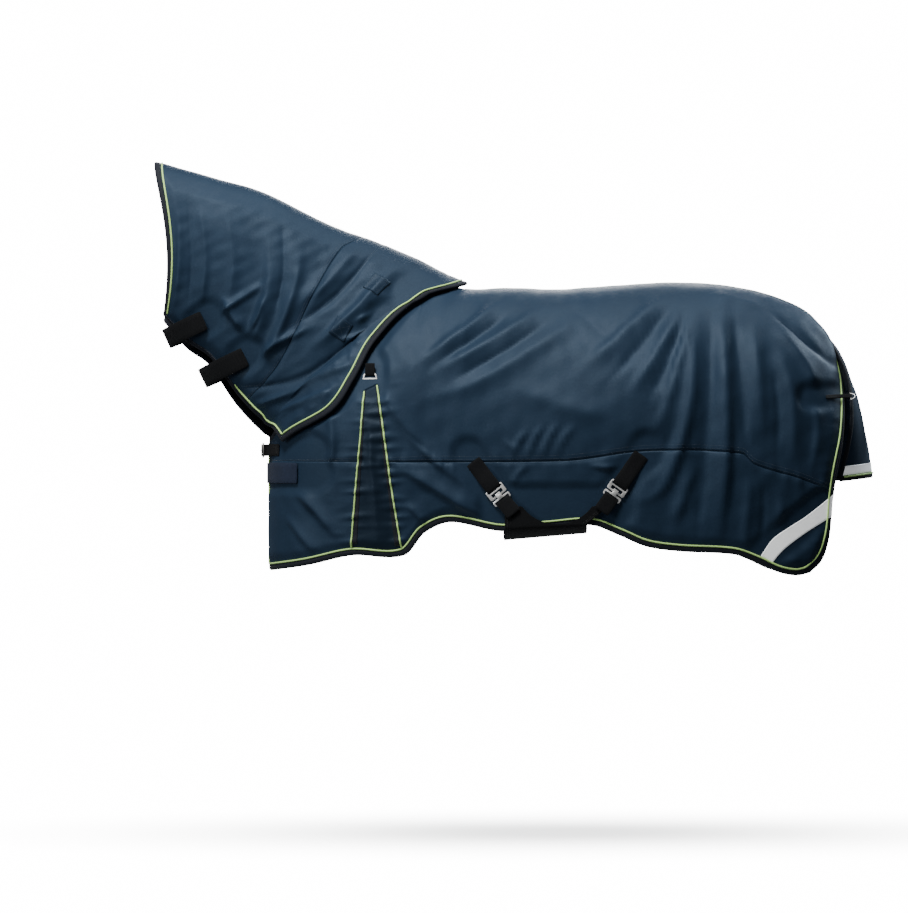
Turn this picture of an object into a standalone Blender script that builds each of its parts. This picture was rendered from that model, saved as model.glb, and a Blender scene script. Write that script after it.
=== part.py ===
"""A turnout rug with a fixed neck cover, in the shape it takes on the horse.

Metres, +Z up, +X towards the tail, -Y on the horse's left. The origin lies on the withers.
Every fabric layer follows one form: the rug body uses the unrolled position (q, s), where q runs
back from the centre of the chest and s runs down from the spine, and the hood uses (a, phi).
"""
import math

import bmesh
import bpy
from mathutils import Matrix, Vector

# Form under the rug: outlines as (x, value)
CREST = ((-0.93, 0.364), (-0.763, 0.316), (-0.617, 0.274), (-0.4925, 0.213), (-0.4, 0.168),
         (-0.2675, 0.119), (-0.143, 0.064), (0, -0.006), (0.14, -0.006), (0.3, -0.011),
         (0.43, -0.001), (0.68, 0.011), (0.81, 0), (0.906, -0.019), (0.988, -0.048),
         (1.046, -0.08), (1.09, -0.132), (1.125, -0.2), (1.2, -0.36))
THROAT = ((-0.93, -0.045), (-0.903, -0.075), (-0.827, -0.17), (-0.757, -0.225), (-0.68, -0.345),
          (-0.61, -0.42), (-0.575, -0.45), (-0.4, -0.75), (0, -1.0), (1.2, -1.0))
NECK_HALF_WIDTH = ((-0.93, 0.085), (-0.8, 0.1), (-0.7, 0.115), (-0.6, 0.125), (-0.45, 0.15),
                   (-0.3, 0.17), (-0.15, 0.2), (0, 0.22), (1.2, 0.22))
BODY_TOP = ((-0.575, -0.4), (-0.4, -0.22), (-0.2, -0.07), (0, -0.006))
BODY_HALF_WIDTH = ((-0.215, 0.255), (0, 0.272), (0.2, 0.3), (0.4, 0.315), (0.6, 0.308),
                   (0.8, 0.295), (0.95, 0.272), (1.05, 0.236), (1.1, 0.206), (1.15, 0.17))
BODY_ROUND = ((-0.575, 0.2), (-0.3, 0.3), (0, 0.42), (0.3, 0.46), (0.7, 0.46), (0.95, 0.4),
              (1.1, 0.3))
CHEST_X = -0.575
CHEST_REACH = 0.36
CHEST_HALF_WIDTH = 0.255
JOIN_POWER = 4
UNROLL = 0.18

# Cut of the rug: outlines as (x, z)
NECKLINE_X = -0.12
NECKLINE = ((-0.575, -0.462), (-0.5, -0.36), (-0.4, -0.25), (-0.3, -0.12), (-0.2, -0.03),
            (-0.12, 0.052))
SEAM = ((-0.575, -0.52), (0.298, -0.52), (0.553, -0.49), (0.836, -0.498), (0.8725, -0.53),
        (1.0, -0.57), (1.12, -0.615))
HEM = ((-0.575, -0.838), (-0.462, -0.82), (-0.33, -0.79), (-0.178, -0.79), (-0.12, -0.724),
       (-0.036, -0.69), (0.12, -0.716), (0.26, -0.706), (0.39, -0.698), (0.477, -0.73),
       (0.553, -0.762), (0.65, -0.776), (0.815, -0.786), (0.885, -0.81), (0.95, -0.84),
       (1.0, -0.85), (1.04, -0.842))
REAR = ((0, 1.112), (0.18, 1.138), (0.4, 1.136), (0.6, 1.108), (0.8, 1.097),
        (0.9, 1.083), (0.96, 1.064), (1, 1.036))
FLAP_EDGE_Q = 0.022
GUSSET_APEX_Z = -0.27
GUSSET_FRONT_X = (-0.29, -0.33)
GUSSET_REAR_X = (-0.253, -0.178)
BEHIND_NECKLINE_X = (-0.12, -0.1)
CHEST_COLUMNS, GUSSET_COLUMNS, SHOULDER_COLUMNS, SADDLE_COLUMNS = 5, 2, 2, 12
TOP_ROWS, MIDDLE_ROWS, LOWER_ROWS = 3, 3, 4
END_CROWDING = 0.09

# Layers: height of the middle of each over the form, and thickness
LINING_LIFT, LINING_THICK = 0.001, 0.0014
WADDING_LIFT, WADDING_THICK = 0.005, 0.0052
SHELL_LIFT, SHELL_THICK = 0.0091, 0.0016
PANEL_GAP = 0.0008
HOOD_LINING_LIFT = 0.0175
HOOD_WADDING_LIFT, HOOD_WADDING_THICK = 0.0205, 0.0034
HOOD_SHELL_LIFT = 0.0238
BINDING_WIDTH, BINDING_THICK, BINDING_GAP = 0.013, 0.0092, 0.0009
PIPING_RADIUS, PIPING_INSET, PIPING_CLEAR = 0.002, 0.009, 0.0008
TOUCH_GAP = 0.0003

# Hood
POLL_X, WITHERS_X = -0.927, -0.004
THROAT_X, HOOD_CORNER_X = -0.885, -0.556
HOOD_FRONT_BULGE = 0.026
HOOD_REAR_SHIFT = ((0, 0), (0.05, -0.088), (0.33, -0.069), (0.576, 0), (0.764, 0.04), (0.9, 0.005),
                   (1, 0))
HOOD_REAR_RAISE, HOOD_RAISE_FROM = 0.0084, 0.65
HOOD_NEAR_EDGE, HOOD_FAR_EDGE = math.radians(150), math.radians(160)
HOOD_COLUMNS, HOOD_ROWS = 15, 16
HOOD_LENGTH = 0.85
HOOD_SEAM_COLUMN = 10
PATCH_SIZE, PATCH_THICK = 0.056, 0.0024
PATCHES = {"upper": (0.86, 41), "lower": (0.845, 78)}
THROAT_STRAPS = {"front": ((-0.78, -0.094), (-0.9, -0.15), 0.0024),
                 "rear": ((-0.655, -0.205), (-0.79, -0.27), 0.0004)}
THROAT_STRAP_WIDTH, THROAT_STRAP_THICK = 0.06, 0.0028
HOOD_LIFT_AXIS = (-0.01, 0, 0.02)

# Surcingles and belly girth
WEBBING, WEBBING_THICK = 0.048, 0.0024
STRAP_CLEAR = {"front": 0.0012, "rear": 0.0009}
STRAPS = {"front": ((0.034, -0.52), (0.096, -0.6)), "rear": ((0.536, -0.5), (0.472, -0.59))}
STRAP_RISE = 0.0165
BAR, PLATE_THICK = 0.0044, 0.004
PLATE_HEIGHT, SLOT_PLAY = 0.031, 0.0022
LOOP_RETURN = 0.026
HOOK_TRAVEL = 0.004
GIRTH_X = {"bottom": (0.128, 0.374), "top": (0.128, 0.44)}
GIRTH_TOP_Z, GIRTH_TURN_Z, GIRTH_BOTTOM_Z = -0.655, -0.712, -0.762
GIRTH_LIFT, GIRTH_THICK = 0.0215, 0.005
TAB_OVER_HORN = 0.0049
HORN_STAND_OFF = GIRTH_THICK / 2 + WEBBING_THICK / 2 + 0.001
GIRTH_CUT_RADIUS, GIRTH_CUT_X, GIRTH_CUT_Z = 0.13, 0.284, -0.578
KEEPER_LENGTH, KEEPER_WALL, KEEPER_CLEAR = 0.012, 0.0018, 0.0016

# Chest closure
BAND_Z, BAND_HEIGHT, BAND_THICK, BAND_REACH = -0.556, 0.062, 0.003, 0.2
BAND_LIFT = 0.0168
SNAP_X, SNAP_Z = -0.6035, -0.487
SNAP_WEBBING = 0.036
RING_WIRE, RING_DEPTH, RING_BAR_Y = 0.0019, 0.025, 0.035
SNAP_EYE_BAR_Y = -0.043
SNAP_HOOK_RADIUS, SNAP_HOOK_WIRE = 0.0075, 0.0021
GATE_RADIUS, GATE_LENGTH, GATE_TRAVEL, GATE_OFFSET = 0.0014, 0.012, 0.005, -0.0035

# Tail
FLAP_LINE = ((0, 1.095, -0.1215), (0.16, 1.146, -0.189), (0.34, 1.178, -0.275),
             (0.55, 1.207, -0.37), (0.77, 1.232, -0.47), (1, 1.247, -0.572))
FLAP_HALF_WIDTH = ((0, 0.06), (0.16, 0.1), (0.34, 0.14), (0.6, 0.17), (1, 0.185))
FLAP_DEPTH = ((0, 0.007), (0.16, 0.009), (0.34, 0.01), (0.6, 0.04), (0.8, 0.08), (1, 0.12))
FLAP_LEAN = ((0, 0.77), (0.2, 0.4), (0.5, 0.12))
FLAP_THICK = 0.0036
REFLECTOR_A = (0.945, 0.99)
TAIL_RING_Z, TAIL_RING_WIRE, TAIL_RING_RADIUS = -0.33, 0.0016, 0.01
TAIL_TAB_WIDTH, TAIL_TAB_THICK = 0.014, 0.0018

NAVY, DARK_NAVY, BLACK = (0.022, 0.037, 0.068), (0.026, 0.032, 0.052), (0.012, 0.012, 0.014)
LIME, SILVER, PEWTER = (0.46, 0.66, 0.28), (0.55, 0.58, 0.58), (0.4, 0.39, 0.36)
WHITE, CHARCOAL = (0.75, 0.76, 0.76), (0.02, 0.022, 0.026)

LEFT, RIGHT = -1, 1
SIDES = {"left": LEFT, "right": RIGHT}


def clear_scene():
    for obj in list(bpy.data.objects):
        bpy.data.objects.remove(obj)


def collection_named(name):
    made = bpy.data.collections.new(name)
    bpy.context.scene.collection.children.link(made)
    return made


def material(name, colour, roughness, metallic=0.0):
    made = bpy.data.materials.new(name)
    made.use_nodes = True
    shader = made.node_tree.nodes["Principled BSDF"]
    shader.inputs["Base Color"].default_value = (*colour, 1)
    shader.inputs["Roughness"].default_value = roughness
    shader.inputs["Metallic"].default_value = metallic
    return made


def along(points, x, value=1):
    """A smooth line through the points, level beyond both ends."""
    if x <= points[0][0]:
        return points[0][value]
    if x >= points[-1][0]:
        return points[-1][value]
    i = max(k for k in range(len(points) - 1) if points[k][0] <= x)
    ends = points[max(i - 1, 0)], points[i], points[i + 1], points[min(i + 2, len(points) - 1)]
    (x0, y0), (x1, y1), (x2, y2), (x3, y3) = [(p[0], p[value]) for p in ends]
    span = x2 - x1
    t = (x - x1) / span
    left = (y2 - y0) / (x2 - x0)
    right = (y3 - y1) / (x3 - x1)
    rise = t * t * (3 - 2 * t)
    return (y1 + (y2 - y1) * rise + span * left * t * (1 - t) ** 2
            - span * right * t * t * (1 - t))


def mix(a, b, t):
    return a + (b - a) * t


def round_share(t):
    """Share of the full half width at share t of the way down a rounded top."""
    t = min(max(t, 0.0), 1.0)
    return math.sqrt(max(1 - (1 - t) ** 2, 0.0))


def body_half_width(x):
    if x <= CHEST_X:
        return 0.0
    if x < CHEST_X + CHEST_REACH:
        return CHEST_HALF_WIDTH * round_share((x - CHEST_X) / CHEST_REACH)
    return along(BODY_HALF_WIDTH, x)


def body_top(x):
    return along(BODY_TOP, x) if x < 0 else along(CREST, x)


def half_width(x, z):
    """Half the width of the form at a point of its side view."""
    crest = along(CREST, x)
    t = min(max((crest - z) / (crest - along(THROAT, x)), 0.0), 1.0)
    neck = along(NECK_HALF_WIDTH, x) * math.sqrt(4 * t * (1 - t))
    body = body_half_width(x) * round_share((body_top(x) - z) / along(BODY_ROUND, x))
    return (neck ** JOIN_POWER + body ** JOIN_POWER) ** (1 / JOIN_POWER)


def rolled(length):
    """Distance covered in the side view by a length measured round the form's edge."""
    return math.sqrt(length * length + UNROLL * UNROLL) - UNROLL


def unrolled(distance):
    return math.sqrt(max((distance + UNROLL) ** 2 - UNROLL * UNROLL, 0.0))


def q_of(x):
    return unrolled(x - CHEST_X)


def s_of(x, z):
    return unrolled(along(CREST, x) - z)


def bare_skin(q, s):
    """The form's own surface: q below 0 is the right of the chest, s below 0 the right flank."""
    x = CHEST_X + rolled(q)
    z = along(CREST, x) - rolled(s)
    side = LEFT if (q < 0) == (s < 0) else RIGHT
    return Vector((x, side * half_width(x, z), z))


def lifted(surface, u, v, lift, step=0.004):
    """A point of the surface raised along its outward normal."""
    across = surface(u + step, v) - surface(u - step, v)
    down = surface(u, v + step) - surface(u, v - step)
    return surface(u, v) + down.cross(across).normalized() * lift


def skin(q, s, lift):
    return lifted(bare_skin, q, s, lift)


def on_side(x, z, lift, side=LEFT):
    point = skin(q_of(x), s_of(x, z), lift)
    return Vector((point.x, point.y * -side, point.z))


def facing(x, z, side=LEFT):
    return (on_side(x, z, 0.01, side) - on_side(x, z, 0.0, side)).normalized()


def bare_hood(a, phi):
    """The form under the hood: a runs from the poll to the withers, phi round the neck."""
    share = (1 - math.cos(phi)) / 2
    top_x = mix(POLL_X, WITHERS_X, a)
    low_x = mix(THROAT_X, HOOD_CORNER_X, a)
    x = mix(top_x, low_x, share) + HOOD_FRONT_BULGE * (1 - a) * math.sin(math.pi * share)
    x += along(HOOD_REAR_SHIFT, share) * max(a, 0) ** 2
    z = mix(along(CREST, top_x), along(THROAT, low_x), share)
    side = LEFT if phi >= 0 else RIGHT
    return Vector((x, side * half_width(x, z), z))


def hood(a, phi, lift):
    raised = HOOD_REAR_RAISE * max(a - HOOD_RAISE_FROM, 0) / (1 - HOOD_RAISE_FROM)
    return lifted(bare_hood, a, phi, lift + raised)


def link(obj, shade=True):
    NODES.objects.link(obj)
    if shade and obj.type == "MESH":
        obj.data.shade_smooth()
        obj.data.set_sharp_from_angle(angle=math.radians(40))
    return obj


def solidify(obj, thick, offset=0.0):
    modifier = obj.modifiers.new("thickness", "SOLIDIFY")
    modifier.thickness = thick
    modifier.offset = offset
    return modifier


def sheet(name, columns, rows, place, thick, look, holes=None, mirror=False):
    """A grid of fabric: place(i, j) sets each corner, and holes(i, j) names cells left out."""
    mesh = bmesh.new()
    bmesh.ops.create_grid(mesh, x_segments=columns, y_segments=rows, size=1)
    doomed = []
    for face in mesh.faces:
        middle = face.calc_center_median()
        i = int((middle.x + 1) / 2 * columns)
        j = int((middle.y + 1) / 2 * rows)
        if holes and holes(i, j):
            doomed.append(face)
    for vertex in mesh.verts:
        i = round((vertex.co.x + 1) / 2 * columns)
        j = round((vertex.co.y + 1) / 2 * rows)
        vertex.co = place(i, j)
    bmesh.ops.delete(mesh, geom=doomed, context="FACES")
    data = bpy.data.meshes.new(name)
    mesh.to_mesh(data)
    mesh.free()
    data.materials.append(look)
    obj = link(bpy.data.objects.new(name, data))
    if mirror:
        twin = obj.modifiers.new("other side", "MIRROR")
        twin.use_axis = (False, True, False)
        twin.merge_threshold = 0.0001
    solidify(obj, thick)
    return obj


def tube(name, points, radius, look, sides=1, cyclic=False):
    data = bpy.data.curves.new(name, "CURVE")
    data.dimensions = "3D"
    line = data.splines.new("POLY")
    line.points.add(len(points) - 1)
    for point, place in zip(line.points, points):
        point.co = (*place, 1)
    line.use_cyclic_u = cyclic
    data.bevel_depth = radius
    data.bevel_resolution = sides
    data.use_fill_caps = not cyclic
    data.materials.append(look)
    return link(bpy.data.objects.new(name, data))


# Rug body

STATIONS = (CHEST_COLUMNS, GUSSET_COLUMNS, SHOULDER_COLUMNS, SADDLE_COLUMNS)
GUSSET_START = CHEST_COLUMNS
GUSSET_END = CHEST_COLUMNS + GUSSET_COLUMNS
NECKLINE_COLUMN = GUSSET_END + SHOULDER_COLUMNS
COLUMNS = sum(STATIONS)
APEX_ROW = TOP_ROWS
SEAM_ROW = TOP_ROWS + MIDDLE_ROWS
ROWS = SEAM_ROW + LOWER_ROWS


def station_q(number, v):
    """Station lines from the chest to the tail, at share v from the top edge to the hem."""
    low = max(v - APEX_ROW / ROWS, 0) / (1 - APEX_ROW / ROWS)
    if number == 0:
        return FLAP_EDGE_Q
    if number == 4:
        return q_of(along(REAR, v))
    ends = (GUSSET_FRONT_X, GUSSET_REAR_X, BEHIND_NECKLINE_X)[number - 1]
    return q_of(mix(*ends, low))


def column_q(i, v):
    for number, count in enumerate(STATIONS):
        if i <= count:
            share = i / count
            if number == 3:
                share -= END_CROWDING * math.sin(2 * math.pi * share)
            return mix(station_q(number, v), station_q(number + 1, v), share)
        i -= count
    raise ValueError("no such column")


def top_s(x, i):
    return 0.0 if i >= NECKLINE_COLUMN else s_of(x, along(NECKLINE, x))


def grid_qs(i, j):
    """Unrolled position of a grid corner; i and j may lie between whole numbers."""
    q = column_q(i, j / ROWS)
    x = CHEST_X + rolled(q)
    top, seam, hem = top_s(x, i), s_of(x, along(SEAM, x)), s_of(x, along(HEM, x))
    if j >= SEAM_ROW:
        return q, mix(seam, hem, (j - SEAM_ROW) / LOWER_ROWS)
    return q, mix(top, seam, j / SEAM_ROW)


def rug_point(i, j, lift):
    q, s = grid_qs(i, j)
    point = skin(q, s, lift)
    if s == 0:
        point.y = 0
    return point


def layer(name, lift, thick, look, i0, i1, j0, j1, side=None, holes=None, inset=0.0):
    """Part of the rug's grid as fabric: both sides joined over the spine, or one side."""
    di, dj = i1 - i0, j1 - j0

    def place(i, j):
        ii = min(max(i0 + i, i0 + inset), i1 - inset)
        jj = min(max(j0 + j, j0 + inset * (j0 > 0)), j1 - inset)
        point = rug_point(ii, jj, lift)
        if side == RIGHT:
            point.y *= -1
        return point

    return sheet(name, di, dj, place, thick, look, holes, mirror=side is None)


def in_gusset(i, j):
    return GUSSET_START <= i < GUSSET_END and j >= APEX_ROW


def make_body():
    layer("lining", LINING_LIFT, LINING_THICK, CHARCOAL_LINING, 0, COLUMNS, 0, ROWS)
    layer("wadding", WADDING_LIFT, WADDING_THICK, WADDING_LOOK, 0, COLUMNS, 0, ROWS)
    layer("back_panel", SHELL_LIFT, SHELL_THICK, NAVY_SHELL, 0, COLUMNS, 0, SEAM_ROW,
          holes=in_gusset)
    edge = 0.02
    for word, side in SIDES.items():
        layer(f"chest_panel_{word}", SHELL_LIFT, SHELL_THICK, NAVY_SHELL, 0, GUSSET_START,
              SEAM_ROW, ROWS, side, inset=edge)
        layer(f"flank_panel_{word}", SHELL_LIFT, SHELL_THICK, NAVY_SHELL, GUSSET_END, COLUMNS,
              SEAM_ROW, ROWS, side, inset=edge)
        layer(f"gusset_{word}", SHELL_LIFT, SHELL_THICK, NAVY_SHELL, GUSSET_START, GUSSET_END,
              APEX_ROW, ROWS, side, inset=edge)


def rim():
    """The rug's edge as grid corners, from the dock down the rear, along the hem, up the chest
    and along the neckline, with the outward direction in (q, s) at each."""
    run = [(COLUMNS, j) for j in range(ROWS)]
    run += [(i, ROWS) for i in range(COLUMNS, 0, -1)]
    run += [(0, j) for j in range(ROWS, 0, -1)]
    run += [(i, 0) for i in range(0, NECKLINE_COLUMN + 1)]
    places = [Vector(grid_qs(*p)) for p in run]
    outward = []
    for k, here in enumerate(places):
        before, after = places[max(k - 1, 0)], places[min(k + 1, len(places) - 1)]
        if before == here:
            before = here - (after - here)
        first, second = (here - before), (after - here)
        first = first.normalized() if first.length else second.normalized()
        second = second.normalized() if second.length else first
        way = first + second
        way.normalize()
        stretch = 1 / max(way.dot(second), 0.6)
        outward.append(Vector((-way.y, way.x)) * -stretch)
    outward[0] = Vector((1, 0)) / 0.9
    outward[-1] = Vector((-1, 0))
    return places, outward


def make_edges():
    places, outward = rim()
    middle = (LINING_LIFT + SHELL_LIFT) / 2

    def place(i, j):
        here = places[i] + outward[i] * (BINDING_GAP + j * BINDING_WIDTH)
        point = skin(max(here.x, 0.004), here.y, middle)
        if i in (0, len(places) - 1):
            point.y = 0
        return point

    sheet("edge_binding", len(places) - 1, 1, place, BINDING_THICK, BINDING_LOOK, mirror=True)
    lift = SHELL_LIFT + SHELL_THICK / 2 + PIPING_CLEAR + PIPING_RADIUS
    hem_line = places[1:ROWS + COLUMNS + ROWS - 1]
    hem_out = outward[1:ROWS + COLUMNS + ROWS - 1]
    for word, side in SIDES.items():
        line = []
        for here, way in zip(hem_line, hem_out):
            spot = here - way * PIPING_INSET
            point = skin(spot.x, spot.y, lift)
            line.append((point.x, -side * point.y, point.z))
        tube(f"edge_piping_{word}", line, PIPING_RADIUS, LIME_LOOK)
        rise = [(GUSSET_START, j) for j in range(ROWS - 1, APEX_ROW - 1, -1)]
        fall = [(GUSSET_END, j) for j in range(APEX_ROW, ROWS)]
        line = [rug_point(i, j, lift) for i, j in rise + fall]
        line = [(p.x, -side * p.y, p.z) for p in line]
        tube(f"gusset_piping_{word}", line, PIPING_RADIUS, LIME_LOOK)


# Flat pieces, straps and hardware


class Place:
    """A spot with three directions: across, down and out."""

    def __init__(self, origin, down, out):
        self.origin = Vector(origin)
        self.down = Vector(down).normalized()
        out = Vector(out)
        self.out = (out - self.down * out.dot(self.down)).normalized()
        self.across = self.out.cross(self.down).normalized()

    def at(self, across, down, out):
        return self.origin + self.across * across + self.down * down + self.out * out

    def matrix(self):
        turned = Matrix((self.across, -self.down, self.out)).transposed()
        return Matrix.Translation(self.origin) @ turned.to_4x4()


def ribbon(name, path, across, width, thick, look):
    """A strap along the path, with across as its width direction."""
    sideways = across if callable(across) else (lambda k: across)

    def place(i, j):
        return path[i] + sideways(i) * (j - 0.5) * width

    return sheet(name, len(path) - 1, 1, place, thick, look)


def turn_radius(bar, thick, webbing):
    """How far from a bar's centre the middle of a webbing lies that turns round it."""
    return (math.hypot(bar, thick) / 2 + TOUCH_GAP + webbing / 2) / math.cos(math.pi / 12)


def loop_run(bar_out, ply, reach_in, return_in, steps=6):
    """(down, out) points of a strap that comes down outside a bar, turns under it and goes back."""
    run = [reach_in, (-0.012, bar_out + ply)]
    for k in range(steps + 1):
        angle = math.pi * k / steps
        run.append((ply * math.sin(angle), bar_out + ply * math.cos(angle)))
    run += [(-0.012, bar_out - ply), (-return_in, bar_out - ply)]
    return run


def outline(name, loops, depth, place, look):
    """Flat outlines, the first the edge and the rest holes, raised to a plate and placed."""
    data = bpy.data.curves.new(name, "CURVE")
    data.dimensions = "2D"
    data.fill_mode = "BOTH"
    data.extrude = depth / 2
    for loop in loops:
        line = data.splines.new("POLY")
        line.points.add(len(loop) - 1)
        for point, (x, y) in zip(line.points, loop):
            point.co = (x, y, 0, 1)
        line.use_cyclic_u = True
    data.materials.append(look)
    obj = bpy.data.objects.new(name, data)
    obj.matrix_world = place
    return obj


def box_loop(x0, x1, y0, y1, corner=0.0):
    if not corner:
        return [(x0, y0), (x1, y0), (x1, y1), (x0, y1)]
    c = corner
    return [(x0 + c, y0), (x1 - c, y0), (x1, y0 + c), (x1, y1 - c), (x1 - c, y1), (x0 + c, y1),
            (x0, y1 - c), (x0, y0 + c)]


def as_mesh(obj, linked=True):
    """The same shape as a mesh with its caps welded."""
    bpy.context.scene.collection.objects.link(obj)
    bpy.context.view_layer.update()
    graph = bpy.context.evaluated_depsgraph_get()
    data = bpy.data.meshes.new_from_object(obj.evaluated_get(graph))
    work = bmesh.new()
    work.from_mesh(data)
    bmesh.ops.remove_doubles(work, verts=work.verts, dist=0.00005)
    bmesh.ops.recalc_face_normals(work, faces=work.faces)
    work.to_mesh(data)
    work.free()
    name = obj.name
    made = bpy.data.objects.new(name, data)
    made.matrix_world = obj.matrix_world.copy()
    bpy.data.objects.remove(obj)
    made.name = name
    return link(made) if linked else made


def helper(obj):
    CUTTERS.objects.link(obj)
    obj.hide_render = True
    obj.display_type = "WIRE"
    return obj


def boolean(obj, other, operation):
    modifier = obj.modifiers.new(other.name, "BOOLEAN")
    modifier.operation = operation
    modifier.object = other
    modifier.solver = "EXACT"


def box(name, place, size, look=None):
    """A block centred on the place's point, sized across, down and out."""
    mesh = bmesh.new()
    bmesh.ops.create_cube(mesh, size=1)
    bmesh.ops.scale(mesh, vec=size, verts=mesh.verts)
    data = bpy.data.meshes.new(name)
    mesh.to_mesh(data)
    mesh.free()
    if look:
        data.materials.append(look)
    obj = bpy.data.objects.new(name, data)
    obj.matrix_world = place
    return obj


def rod(name, start, end, radius, look=None, sides=12):
    """A round bar from start to end."""
    start, end = Vector(start), Vector(end)
    mesh = bmesh.new()
    bmesh.ops.create_cone(mesh, cap_ends=True, segments=sides, radius1=radius, radius2=radius,
                          depth=(end - start).length)
    data = bpy.data.meshes.new(name)
    mesh.to_mesh(data)
    mesh.free()
    if look:
        data.materials.append(look)
    obj = bpy.data.objects.new(name, data)
    turn = (end - start).to_track_quat("Z", "Y").to_matrix().to_4x4()
    obj.matrix_world = Matrix.Translation((start + end) / 2) @ turn
    return obj


def joint_empty(name, where):
    empty = bpy.data.objects.new(name, None)
    empty.location = where
    CUTTERS.objects.link(empty)
    empty.hide_render = True
    bpy.context.view_layer.update()
    return empty


def hang_on(empty, *pieces):
    for piece in pieces:
        where = piece.matrix_world.copy()
        piece.parent = empty
        piece.matrix_parent_inverse = empty.matrix_world.inverted()
        piece.matrix_world = where


def strap_place(word, side):
    """Where a surcingle meets its buckle: the middle of the bar that it turns round."""
    start, end = STRAPS[word]
    top = on_side(*start, 0, side)
    low = on_side(*end, 0, side)
    return Place(low, low - top, facing(*end, side)), (low - top).length


def make_left_strap(word):
    place, length = strap_place(word, LEFT)
    ply = turn_radius(BAR, PLATE_THICK, WEBBING_THICK)
    low = SHELL_LIFT + SHELL_THICK / 2 + STRAP_CLEAR[word] + WEBBING_THICK / 2
    bar_out = low + ply
    run = [(-length, low + 0.0002), (-length * 0.6, low + 0.0006)]
    run += loop_run(bar_out, ply, (-LOOP_RETURN - 0.014, low + ply * 1.3), LOOP_RETURN)
    path = [place.at(0, d, o) for d, o in run]
    ribbon(f"{word}_surcingle_left", path, place.across, WEBBING, WEBBING_THICK, WEB_LOOK)

    half = WEBBING / 2 + SLOT_PLAY / 2
    wide = half + BAR
    strap_slot = ply + WEBBING_THICK / 2 + TOUCH_GAP * 2
    upper = BAR / 2
    first_slot = box_loop(-half, half, -upper - strap_slot, -upper)
    second_top = -upper - strap_slot - BAR
    tip_slot = HOOK_TRAVEL + 0.0065
    second_slot = box_loop(-half + 0.006, half - 0.006, second_top - tip_slot, second_top)
    foot = second_top - tip_slot - BAR * 1.3
    edge = box_loop(-wide, wide, foot, upper, 0.003)
    flat = Place(place.at(0, 0, bar_out), place.down, place.out)
    plate = outline(f"{word}_slot_plate", [edge, first_slot, second_slot], PLATE_THICK,
                    flat.matrix(), METAL)
    as_mesh(plate)
    return place, bar_out, second_top, tip_slot, foot, ply, wide, half


def make_hook(word, fit):
    """The male half: a frame on the girth's tab with a tongue that bends into the lower slot."""
    place, bar_out, second_top, tip_slot, foot, ply, wide, half = fit
    head = -foot + HOOK_TRAVEL + 0.0008
    bar = BAR
    slot = ply + WEBBING_THICK / 2 + TOUCH_GAP * 2
    flat = Place(place.at(0, 0, bar_out), place.down, place.out)
    lower_bar = -head - bar * 1.2 - slot - bar
    edge = box_loop(-wide, wide, lower_bar, -head, 0.003)
    hole = box_loop(-half, half, lower_bar + bar, lower_bar + bar + slot)
    frame = as_mesh(outline(f"{word}_hook", [edge, hole], PLATE_THICK, flat.matrix(), METAL))
    front = PLATE_THICK / 2 + 0.0006
    tongue_thick = 0.003
    tip_height = 0.004
    tip_middle = -second_top + tip_slot - TOUCH_GAP * 2 - tip_height / 2
    tongue_low = head + bar
    tongue_top = tip_middle - tip_height / 2
    outer = front + tongue_thick
    profile = [(tongue_low, -PLATE_THICK * 0.2), (tongue_low, outer), (tongue_top, outer),
               (tongue_top, -PLATE_THICK / 2), (tongue_top + tip_height, -PLATE_THICK / 2),
               (tongue_top + tip_height, front), (head + 0.0012, front),
               (head + 0.0012, -PLATE_THICK * 0.2)]
    side_on = Matrix((place.down, place.out, place.down.cross(place.out))).transposed()
    where = Matrix.Translation(place.at(0, 0, bar_out)) @ side_on.to_4x4()
    tongue = outline(f"{word}_tongue", [profile], 0.016, where, METAL)
    tongue = helper(as_mesh(tongue, linked=False))
    knob_at = mix(tongue_low, tongue_top, 0.45)
    knob = rod(f"{word}_knob", place.at(0, knob_at, bar_out + outer - 0.001),
               place.at(0, knob_at, bar_out + outer + 0.0022), 0.0055)
    helper(knob)
    boolean(frame, tongue, "UNION")
    boolean(frame, knob, "UNION")
    middle = -(lower_bar + bar / 2)
    return frame, middle


def girth_half_width(x):
    return half_width(x, GIRTH_TOP_Z) + GIRTH_LIFT


def girth_edge(x, share):
    """(half width, height) along one side of the girth, from its horn to the middle below."""
    straight = GIRTH_TOP_Z - GIRTH_TURN_Z
    depth = GIRTH_TURN_Z - GIRTH_BOTTOM_Z
    if share < 0.3:
        return girth_half_width(x), GIRTH_TOP_Z - straight * share / 0.3
    turn = (share - 0.3) / 0.7 * math.pi / 2
    return (girth_half_width(x) * max(math.cos(turn), 0) ** 0.5,
            GIRTH_TURN_Z - depth * math.sin(turn) ** 0.9)


def make_girth():
    rows, columns = 20, 8

    def place(i, j):
        share = 1 - abs(2 * j / rows - 1)
        side = LEFT if j < rows / 2 else RIGHT
        top = max(1 - share / 0.3, 0)
        front = mix(GIRTH_X["bottom"][0], GIRTH_X["top"][0], top)
        rear = mix(GIRTH_X["bottom"][1], GIRTH_X["top"][1], top)
        x = mix(front, rear, i / columns)
        y, z = girth_edge(x, share)
        return Vector((x, side * y, z))

    girth = sheet("belly_girth", columns, rows, place, GIRTH_THICK, WEB_LOOK)
    cut = rod("girth_cut", (GIRTH_CUT_X, -0.45, GIRTH_CUT_Z), (GIRTH_CUT_X, 0.45, GIRTH_CUT_Z),
              GIRTH_CUT_RADIUS, sides=32)
    helper(cut)
    boolean(girth, cut, "DIFFERENCE")
    return girth


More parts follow.
